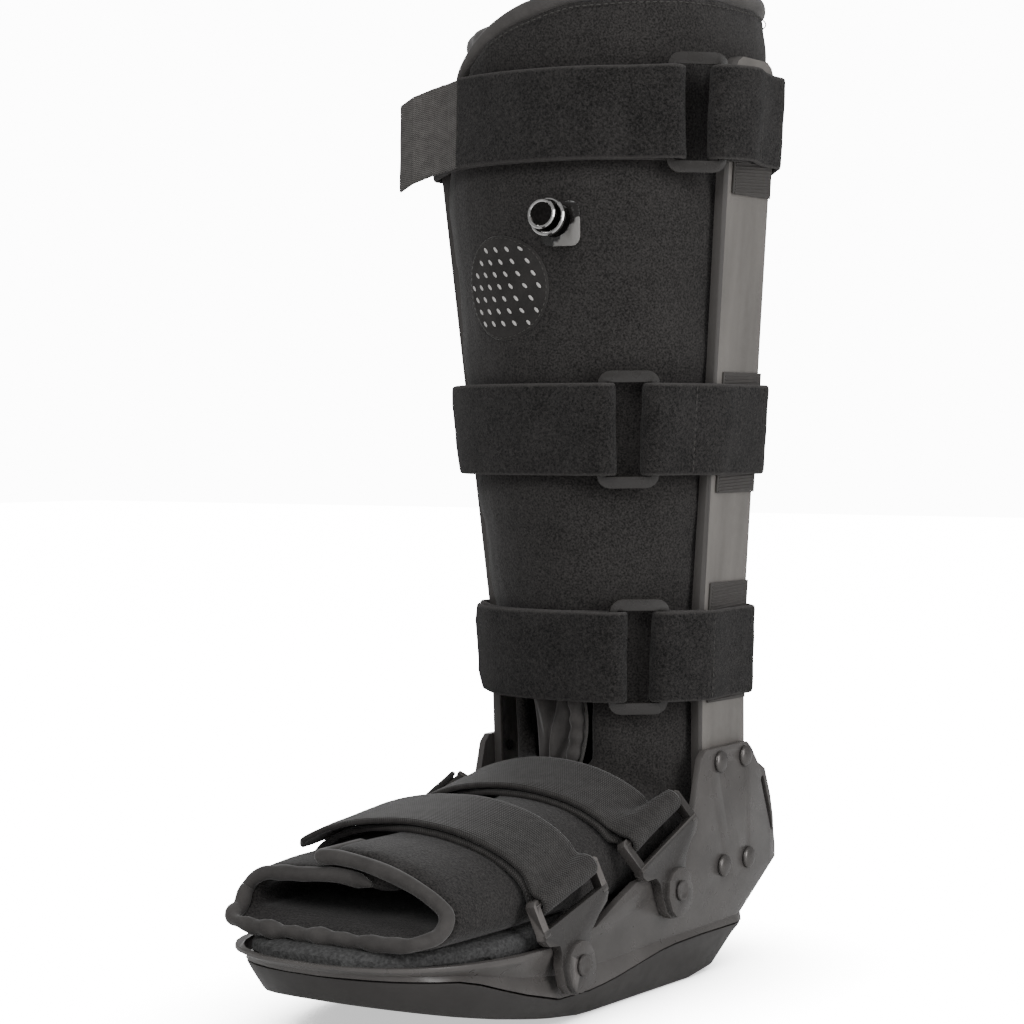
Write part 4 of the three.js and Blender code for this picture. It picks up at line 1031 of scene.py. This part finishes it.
def rivet_rows(name, profile, out, places, nodes):
    """The same rivets on both sides of the boot, as one piece."""
    heads = [
        turned_solid("head", profile, placed((side * out, y, z)), (side, 0, 0))
        for side in (1, -1)
        for y, z in places
    ]
    names = [f"{kind}_{side}" for kind in nodes for side in SIDES]
    finish_piece(joined(name, heads), names, rivet_steel)


rivet_rows("plate_rivets", DOME, PLATE_OUT, RIVETS.values(), [f"rivet_{where}" for where in RIVETS])


# Strap brackets.
# Moulded loops riveted to the tray; each leans in over the foot and carries a strap on its top bar.
# edges=3.2 paints the bracket's edges much paler, as highlights along them, with wear.
bracket_plastic = moulded("bracket_plastic", (0.06, 0.0556, 0.0532), 0.26, grain=0.1, edges=3.2)
bracket_names = [f"strap_bracket_{where}_{side}" for where in ("front", "rear") for side in SIDES]
brackets = eased(cad_copy("strap_brackets", *bracket_names), 0.55)
finish_piece(brackets, bracket_names, bracket_plastic)

# along the foot, height, slope of the loop, its lean inwards and its shift along the slope
BRACKETS = {
    "front": (-124.4, 25.7, 16.2, 14, 5.5),
    "rear": (-50.4, 43.8, 22.4, 29, 3),
}
BRACKET_THICK, BRACKET_BOSS = 4.2, 2.5
BRACKET_FOLD, BRACKET_REACH, BRACKET_BAR = 20, 11, 2.2
BRACKET_MID = PLATE_OUT + GAP + BRACKET_THICK / 2
DISHED = [
    *((0, -12), (2.1, -12), (2.1, 0.3)),
    *((3.9, 0.3), (4.2, 0.5), (4.2, 1.0), (3.9, 1.4)),
    *((3.3, 1.5), (2.7, 1.25), (1.2, 1.0), (0, 0.95)),
]
lug_out = BRACKET_MID + BRACKET_THICK / 2 + BRACKET_BOSS
lug_places = [(y, z) for y, z, *_ in BRACKETS.values()]
lug_nodes = [f"bracket_rivet_{where}" for where in BRACKETS]
rivet_rows("bracket_rivets", DISHED, lug_out, lug_places, lug_nodes)


# Leg straps.
# Wide brushed loop fabric: sewn round one bar of a ring, led round the leg, through the ring and
# pressed back on itself. The edges are cut and a little furry.
STRAP_WIDE = 38
FABRIC = 2.6
RING_WIDE, RING_BAR = 24, 3.2
RING_LIFT = 5.9
LOOP_DEEP = 5
STRAP_LIFT = GAP + 0.1 + FABRIC / 2
SECOND_LIFT = STRAP_LIFT + FABRIC + 0.6
bands = {}


def band_at(z):
    """The tight line round the liner and both uprights at a height, as a convex outline."""
    key = round(z * 4) / 4
    if key in bands:
        return bands[key]
    out, middle = read(UPRIGHT, 1, key), read(UPRIGHT, 2, key)
    points = [tuple(leg_point(i * 4, 0, key))[:2] for i in range(90)]
    reach = out + 2 * GAP + GRIP_THICK
    for side in (-1, 1):
        for end in (-1, 1):
            points.append((side * reach, middle + end * (CHANNEL_WIDE / 2 - 0.6)))
    points.sort()

    def half(run):
        chain = []
        for p in run:
            while len(chain) > 1:
                (ox, oy), (qx, qy) = chain[-2:]
                if (qx - ox) * (p[1] - oy) - (qy - oy) * (p[0] - ox) > 0:
                    break
                chain.pop()
            chain.append(p)
        return chain[:-1]

    bands[key] = half(points) + half(points[::-1])
    return bands[key]


def band_reach(angle, z):
    dx, dy = math.sin(math.radians(angle)), -math.cos(math.radians(angle))
    hull = band_at(z)
    for (px, py), (qx, qy) in zip(hull, hull[1:] + hull[:1]):
        ex, ey = qx - px, qy - py
        cross = dx * ey - dy * ex
        if abs(cross) < 1e-9:
            continue
        reach, share = (px * ey - py * ex) / cross, (px * dy - py * dx) / cross
        if reach > 0 and -1e-9 <= share <= 1 + 1e-9:
            return reach
    return 70.0


def band_point(angle, lift, z, slide=0.0):
    """Point on the band line at an angle, lifted off it and slid along it."""

    def at(a):
        reach = band_reach(a, z)
        return Vector((reach * math.sin(math.radians(a)), -reach * math.cos(math.radians(a)), z))

    along = (at(angle + 3) - at(angle - 3)).normalized()
    return at(angle) + Vector((along.y, -along.x, 0)) * lift + along * slide


def band_corners(z):
    out, middle = read(UPRIGHT, 1, z), read(UPRIGHT, 2, z)
    return [
        math.degrees(math.atan2(side * (out + 1), -(middle + end * CHANNEL_WIDE / 2))) % 360
        for side in (-1, 1)
        for end in (-1, 1)
    ]


def strap_path(low, high, ring, end):
    """Stops of (angle, lift, slide): lap, loop, round the leg, through the ring and back."""
    middle = (low + high) / 2
    degrees = math.degrees(1 / band_reach(ring, middle))
    bar = RING_WIDE / 2 - RING_BAR / 2
    rise = RING_LIFT - STRAP_LIFT
    loop = [(-math.cos(math.radians(t)), math.sin(math.radians(t))) for t in range(-90, 91, 30)]
    path = [(ring + degrees * (bar + arc), STRAP_LIFT, 0) for arc in (16, 6)]
    path += [(ring + degrees * bar, RING_LIFT + b * rise, a * LOOP_DEEP) for a, b in loop]
    falling = {8: RING_LIFT + rise * 0.55, 17: SECOND_LIFT, 24: STRAP_LIFT + 1.2, 31: STRAP_LIFT}
    path += [(ring + degrees * (bar + arc), lift, 0) for arc, lift in falling.items()]
    start, stop = ring + degrees * (bar + 37), ring + 360 - degrees * (bar + 8)
    stops = [start + (stop - start) * i / 30 for i in range(31)]
    for corner in band_corners(middle):
        if start + 2 < corner < stop - 2:
            stops += [corner - 1.5, corner + 1.5]
    path += [(angle, STRAP_LIFT, 0) for angle in sorted(stops)]
    path += [(ring + 360 - degrees * bar, RING_LIFT + b * rise, -a * LOOP_DEEP) for a, b in loop]
    path.append((ring + 360 - degrees * (bar + 8), RING_LIFT + rise * 0.5, 0))
    path.append((ring + 360 - degrees * (bar + 18), SECOND_LIFT, 0))
    start, stop = ring + 360 - degrees * (bar + 24), 360 + end
    path += [(start + (stop - start) * i / 12, SECOND_LIFT, 0) for i in range(13)]
    return path


LINE_STEP = 1.6  # mm between the points of a strap's edge


def strap_edges(low, high, ring, end):
    """The strap's lower and upper edge as even lines with the same number of points."""
    path = strap_path(low, high, ring, end)
    lower, upper = (
        smooth_line([band_point(a, lift, z, slide) for a, lift, slide in path], LINE_STEP)
        for z in (low, high)
    )
    count = min(len(lower), len(upper))

    def evenly(line):
        table = np.array([tuple(p) for p in line])
        at = np.linspace(0, len(line) - 1, count)
        columns = [np.interp(at, range(len(line)), table[:, k]) for k in range(3)]
        return [Vector(point) for point in zip(*columns)]

    return evenly(lower), evenly(upper)


def ribbon(name, lower, upper, thick, sag=0.0, corner=0.0, lumps=0.0):
    """A flat strap between two edge lines; corner clips the corners of its free end."""
    across = 14
    count = len(lower)
    width = (upper[0] - lower[0]).length
    rings, uvs = [], []
    run = 0.0
    for i in range(count):
        before, after = max(0, i - 1), min(count - 1, i + 1)
        along = (lower[after] + upper[after] - lower[before] - upper[before]).normalized()
        side = upper[i] - lower[i]
        lift = along.cross(side).normalized()
        if i:
            run += ((lower[i] + upper[i]) / 2 - (lower[i - 1] + upper[i - 1]) / 2).length
        trim = max(0.0, corner - (count - 1 - i) * LINE_STEP) / width
        top, bottom, marks = [], [], []
        for k in range(across + 1):
            share = 0.5 - 0.5 * math.cos(math.pi * k / across)
            inset = trim + share * (1 - 2 * trim)
            off = abs(2 * share - 1)
            edge = max(0.0, ((off - 1) * width + thick) / thick)
            half = thick / 2 * math.sqrt(max(0.04, 1 - edge * edge))
            waves = math.sin(run / 9 + share * 4) * math.sin(run / 23 + share * 9)
            waves += 0.5 * math.sin(run / 4.1 + share * 17)
            centre = lower[i] + side * inset + lift * (lumps * waves - sag * off**2)
            top.append(placed(centre + lift * half))
            bottom.append(placed(centre - lift * half))
            marks.append((share * width * MM, run * MM))
        rings.append([*bottom, *top[::-1]])
        uvs.append([*marks, *marks[::-1]])
    return grid_solid(name, rings, uvs)


def cloth_place(tree):
    """Place on the cloth in metres, X across the strap and Y along it."""
    where = node(tree, "ShaderNodeUVMap", uv_map="cloth").outputs[0]
    return node(tree, "ShaderNodeSeparateXYZ", {"Vector": where}).outputs


def loop_fabric(name, dark, light):
    """Brushed loop fabric: coarse tufts with dark gaps between, paler along its cut edges."""
    made, tree, shader = new_material(name, dark, 1.0)
    tufts = noise(tree, 900, 4, 0.75, 0.4)
    fine = noise(tree, 2400, 2, 0.6)
    mixed = node(tree, "ShaderNodeMix", {0: 0.35, 2: tufts, 3: fine}).outputs[0]
    shade = blended(tree, mixed, 0.15, noise(tree, 60, 4, 0.6))
    share = maths(tree, "MULTIPLY", cloth_place(tree)["X"], 1 / (STRAP_WIDE * MM))
    edge = ramp(tree, share, [(0.0, 1.0), (0.035, 0.0), (0.965, 0.0), (1.0, 1.0)])
    cloth = ramp(tree, shade, [(0.42, dark), (0.6, light)])
    tree.links.new(mix_colour(tree, edge, cloth, scaled(light, 1.5)), shader.inputs["Base Color"])
    sheened(shader, 0.12, 0.6, 0.1)
    bump(tree, shader, (tufts, 1.0, 0.9), (fine, 0.5, 0.4))
    return made


SEAM_BEYOND_BAR = 17.5
SEAM = {"Pitch": 2.6, "Length": 2.0, "Width": 0.6, "Thickness": 0.5, "Sink": 0.0}
strap_fabric = loop_fabric("strap_loops", (0.005, 0.0046, 0.0044), (0.06, 0.056, 0.054))
for strap_name, (low, high, ring, end) in STRAPS.items():
    lower, upper = strap_edges(low, high, ring, end)
    clipped = 0 if strap_name == "top" else 7
    strap = ribbon(f"strap_{strap_name}", lower, upper, FABRIC, 0.25, clipped, 0.12)
    finish_piece(strap, [f"leg_strap_{strap_name}"], strap_fabric)
    degrees = math.degrees(1 / band_reach(ring, (low + high) / 2))
    angle = ring + degrees * (RING_WIDE / 2 - RING_BAR / 2 + SEAM_BEYOND_BAR)
    row = []
    for k in range(25):
        z = low + 2.5 + (high - low - 5) * k / 24
        spot = placed(band_point(angle, SECOND_LIFT + FABRIC / 2 - 0.1, z))
        row.append((spot, (band_point(angle, 9, z) - band_point(angle, 4, z)).normalized()))
    added(along_lines(f"strap_seam_{strap_name}", [row], thread, SEAM))


# Strap rings.
# Flat steel rectangles with rounded corners, blackened; the strap hides their upright bars.
ring_steel, ring_tree, ring_shader = new_material("ring_steel", (0.045, 0.042, 0.04), 0.24)
ring_tree.links.new(clouded(ring_tree, 120, 3, 0.22, 0.34), ring_shader.inputs["Roughness"])
bump(ring_tree, ring_shader, (noise(ring_tree, 300, 2), 0.08, 0.05))
ring_names = [f"strap_ring_{name}" for name in STRAPS]
strap_rings = eased(cad_copy("strap_rings", *ring_names), 0.9, segments=3)
finish_piece(strap_rings, ring_names, ring_steel)


# Pull tab.
# Stiff ribbed webbing sewn under the end of the top strap.
# It stands off the leg in flat facets and droops a little towards its tip.
WEBBING = 1.8
# off the leg, along the strap and down, at each bend
TAB_BENDS = [(0, 1, 0), (0.8, 7, 1), (5, 14, 3), (10.5, 20, 6), (12, 27, 9)]


TAB_LOW, TAB_HIGH, _, TAB_FROM = STRAPS["top"]
TAB_MARGIN = 0.4


def tab_edge(z):
    start = band_point(TAB_FROM, SECOND_LIFT, z)
    along = (start - band_point(TAB_FROM + 4, SECOND_LIFT, z)).normalized()
    out = Vector((along.y, -along.x, 0))
    if out.y > 0:
        out = -out
    line = [start + along * run + out * off - Vector((0, 0, drop)) for off, run, drop in TAB_BENDS]
    fine = []
    for a, b in zip(line, line[1:]):
        fine += [a + (b - a) * k / 8 for k in range(8)]
    return [*fine, line[-1]]


def webbing(name, dark, light, rib, across=True):
    """Woven webbing: rounded ribs in one direction, fine yarns across them."""
    made, tree, shader = new_material(name, dark, 0.75)
    place = cloth_place(tree)
    main, other = ("X", "Y") if across else ("Y", "X")

    def waves(axis, pitch):
        turned = maths(tree, "MULTIPLY", place[axis], 2 * math.pi / (pitch * MM))
        return maths(tree, "SINE", turned)

    ribs, yarns = waves(main, rib), waves(other, 0.9)
    soft = maths(tree, "MULTIPLY", noise(tree, 300, 4, 0.6), 0.5)
    tone = maths(tree, "MULTIPLY_ADD", maths(tree, "MULTIPLY", ribs, yarns), 0.3, soft)
    tree.links.new(ramp(tree, tone, [(0.0, dark), (0.5, light)]), shader.inputs["Base Color"])
    sheened(shader, 0.25, 0.4, 0.25)
    bump(tree, shader, (ribs, 0.6, 0.16), (yarns, 0.35, 0.08), (noise(tree, 1500, 3), 0.3, 0.1))
    return made


tab_weave = webbing("tab_weave", (0.05, 0.047, 0.045), (0.19, 0.18, 0.172), 1.5, across=False)
tab_edges = tab_edge(TAB_LOW + TAB_MARGIN), tab_edge(TAB_HIGH - TAB_MARGIN)
tab = ribbon("tab_webbing", *tab_edges, WEBBING, lumps=0.1)
finish_piece(tab, ["pull_tab"], tab_weave)


# Foot straps.
# Two layers of woven webbing over the foot: the lower is fixed to the far bracket, runs round the
# near bracket's bar and comes back on top, where hooks hold its free end.
FOOT_WEBBING = 2.4
# front edge, rear edge, the angle where it leaves the foot, its free end's angle and drift
FOOT_STRAPS = {"front": (-150, -112, 78, -66, 12), "rear": (-84, -50, 67, -70, 5)}
ROUND_BAR = (60, 30, 0, -30, -60, -90, -120, -150, 172)


def foot_strap_edges(name):
    front_y, rear_y, hug, end, drift = FOOT_STRAPS[name]
    y, z, slope, lean, shift = BRACKETS[name]
    tilt, fall = math.radians(slope), math.radians(lean)
    along = Vector((0, math.cos(tilt), math.sin(tilt)))
    up = Vector((0, -math.sin(tilt), math.cos(tilt)))
    leaning = up * math.cos(fall) - Vector((1, 0, 0)) * math.sin(fall)
    centre = Vector((BRACKET_MID, y, z)) + along * shift
    centre += up * BRACKET_FOLD + leaning * BRACKET_REACH
    wrap = BRACKET_BAR + 0.4 + FOOT_WEBBING / 2

    def edge(sign, y0):
        bar = centre + along * sign * STRAP_WIDE / 2
        line = []

        def turned(side, angles):
            for angle in angles:
                point = bar + up * wrap * math.sin(math.radians(angle))
                point.x = side * (bar.x + wrap * math.cos(math.radians(angle)))
                line.append(point)

        def over(first, last, lift, slide):
            for k in range(17):
                angle = first + (last - first) * k / 16
                point = foot_point(angle, -lift, y0)
                share = min(1, abs(point.x) / bar.x) ** 3
                if slide and point.x < 0:
                    point.y += slide * point.x / bar.x
                elif point.x or not slide:
                    point.y += (bar.y - y0) * share
                line.append(point)

        low = 2 * GAP + FOOT_WEBBING / 2
        turned(-1, ROUND_BAR)
        over(-hug, hug, low, 0)
        turned(1, (*ROUND_BAR[:0:-1], 65, 100))
        over(hug - 6, end, low + FOOT_WEBBING + 0.9, drift)
        return line

    lines = [smooth_line(edge(sign, y0), LINE_STEP) for sign, y0 in ((-1, front_y), (1, rear_y))]
    count = min(map(len, lines))
    return [
        [line[round(i * (len(line) - 1) / (count - 1))] for i in range(count)] for line in lines
    ]


foot_weave = webbing("foot_weave", (0.02, 0.0187, 0.018), (0.085, 0.08, 0.077), 1.35)
for strap_name in FOOT_STRAPS:
    front, rear = foot_strap_edges(strap_name)
    strap = ribbon(f"webbing_{strap_name}", front, rear, FOOT_WEBBING, corner=6, lumps=0.1)
    finish_piece(strap, [f"foot_strap_{strap_name}"], foot_weave)


# Vent mesh.
# A thin woven disc over the air cell, with rows of open slanting slots and a stitched rim.
VENT_ANGLE, VENT_Z = -8.8, 291.5
# radius and lift off the liner, from the underside round the rim to the middle
VENT_PROFILE = [
    *((0.5, 0.35), (21.6, 0.35), (21.8, 0.8), (21.4, 1.25), (19.9, 1.35)),
    *((18.9, 1.1), (15, 1.1), (11, 1.1), (7, 1.1), (3, 1.1), (0.5, 1.1)),
]
VENT_SIDES = 48
SEAM_RADIUS, SEAM_LIFT = 20.7, 1.35
SLOTS_WITHIN, SLOT_LIFT = 19.9, 1.15
SLOT_STEP, ROW_STEP, ROW_SHIFT = 6.0, 5.1, 2.3
SLOT = {"Length": 3.1, "Width": 1.35, "Thickness": 0.5, "Sink": -0.03}


def vent_point(across, up, lift):
    """Point on the vent in metres: across and up from its middle, lifted off the liner."""
    reach = leg_point(VENT_ANGLE, 0, VENT_Z)
    degrees = math.degrees(across / math.hypot(reach.x, reach.y))
    return placed(leg_point(VENT_ANGLE + degrees, -lift, VENT_Z + up))


def vent_round(radius, lift, steps):
    """A circle of points on the vent."""
    turns = [k / steps * 2 * math.pi for k in range(steps)]
    return [vent_point(radius * math.cos(t), radius * math.sin(t), lift) for t in turns]


vent = grid_solid("vent_disc", [vent_round(*ring, VENT_SIDES) for ring in VENT_PROFILE])
vent_knit = knit("vent_knit", (0.028, 0.026, 0.025), (0.05, 0.047, 0.045), 1.1, 0.2)
finish_piece(vent, ["vent_mesh"], vent_knit)
slot_shade = new_material("vent_slots", (0.72, 0.7, 0.68), 0.6)[0]
places, outs, alongs = [], [], []
for row in range(-4, 5):
    for step in range(-6, 7):
        across, up = step * SLOT_STEP - row * ROW_SHIFT - 0.8, row * ROW_STEP + 0.6
        if math.hypot(across, up) > SLOTS_WITHIN:
            continue
        spot = vent_point(across, up, SLOT_LIFT)
        places.append(spot)
        outs.append((vent_point(across, up, 2) - spot).normalized())
        alongs.append((vent_point(across + 0.67, up - 0.74, SLOT_LIFT) - spot).normalized())
added(repeated("vent_slot_rows", places, outs, slot_shade, SLOT, alongs=alongs))
rim = []
for spot, above in zip(vent_round(SEAM_RADIUS, SEAM_LIFT, 96), vent_round(SEAM_RADIUS, 3, 96)):
    rim.append((spot, (above - spot).normalized()))
rim_stitch = {**STITCH, "Pitch": 2.5, "Length": 1.7, "Width": 0.5}
added(along_lines("vent_rim_seam", [[*rim, rim[0]]], thread, rim_stitch))


# Air valve.
# A blackened barrel with two bright chrome rings, standing a little askew on a clear seat tile
# that is bonded to the liner.
VALVE_ANGLE, VALVE_Z, VALVE_TURN, VALVE_RISE = 14, 317, -8, 0.16
valve_base = leg_point(VALVE_ANGLE, 0, VALVE_Z)
facing = VALVE_ANGLE + VALVE_TURN
valve_out = (leg_point(facing, 0, VALVE_Z) - leg_point(facing, 1, VALVE_Z)).normalized()
valve_out.z += VALVE_RISE


def plated(name, dark, light, rough):
    """Plated metal: faint cloudy tone and fine handling marks."""
    made, tree, shader = new_material(name, light, rough, 1.0)
    tree.links.new(clouded(tree, 900, 3, dark, light), shader.inputs["Base Color"])
    gloss = clouded(tree, 400, 4, rough * 0.7, rough * 1.5)
    tree.links.new(gloss, shader.inputs["Roughness"])
    return made


def valve_round(name, profile):
    return turned_solid(name, profile, placed(valve_base), valve_out, 40)


chrome = plated("bright_chrome", (0.62, 0.61, 0.6), (0.82, 0.81, 0.8), 0.1)
black_plate = plated("black_plate", (0.02, 0.019, 0.018), (0.05, 0.047, 0.045), 0.14)
# profiles as (radius, height above the liner)
barrel = [
    *((0.3, 3.1), (4.0, 3.1), (4.2, 3.3), (4.2, 4.8)),
    *((6.8, 5.2), (7.2, 5.7), (7.2, 11.0), (0.3, 11.0)),
]
wide_ring = [
    *((7.0, 10.9), (7.7, 10.9), (8.0, 11.3), (8.0, 12.5)),
    *((7.6, 13.0), (7.0, 13.1), (6.6, 12.8), (6.6, 11.2)),
]
face = [(0.3, 10.8), (6.9, 10.8), (6.9, 12.6), (0.3, 12.6)]
neck = [(0.3, 13.4), (5.2, 13.4), (5.4, 13.7), (5.4, 17.0), (0.3, 17.0)]
small_ring = [
    *((5.0, 16.5), (5.9, 16.5), (6.3, 16.9), (6.3, 17.4)),
    *((5.9, 17.9), (5.3, 18.0), (4.9, 17.6), (4.9, 16.8)),
]
for name, node_name, dark_parts, bright in (
    ("barrel", "valve_body", (barrel, face), wide_ring),
    ("neck", "valve_cap", (neck,), small_ring),
):
    dark = joined(f"valve_{name}", [valve_round("part", profile) for profile in dark_parts])
    finish_piece(dark, [node_name], black_plate)
    hoop = valve_round(f"valve_{name}_ring", bright)
    hoop.data.materials.append(chrome)
    added(hoop)
# The clear seat's colour carries a painted highlight: pale towards one corner along the diagonal,
# broken by noisy streaks.
SEAT_DIAGONAL = (0.707, 0, -0.707)
SEAT_HIGHLIGHT_SHIFT = 21.35  # moves the bright corner along the seat's diagonal
clear, clear_tree, clear_shader = new_material("clear_seat", (0.62, 0.61, 0.6), 0.12)
clear_shader.inputs["Transmission Weight"].default_value = 0.5
where = node(clear_tree, "ShaderNodeTexCoord").outputs["Object"]
diagonal = {0: where, 1: SEAT_DIAGONAL}
slant = node(clear_tree, "ShaderNodeVectorMath", diagonal, operation="DOT_PRODUCT").outputs["Value"]
corner = maths(clear_tree, "MULTIPLY_ADD", slant, 100.0, SEAT_HIGHLIGHT_SHIFT)
highlight_streaks = maths(clear_tree, "MULTIPLY_ADD", noise(clear_tree, 300, 2), 0.5, corner)
seat_tone_with_painted_highlight = ramp(clear_tree, highlight_streaks, [(0.62, (0.05, 0.047, 0.045)), (0.72, (0.62, 0.6, 0.58))])
clear_tree.links.new(seat_tone_with_painted_highlight, clear_shader.inputs["Base Color"])
bump(clear_tree, clear_shader, (noise(clear_tree, 320, 3), 0.4, 0.3))
seat = eased(cad_copy("valve_tile", "valve_seat"), 0.35)
finish_piece(seat, ["valve_seat"], clear)
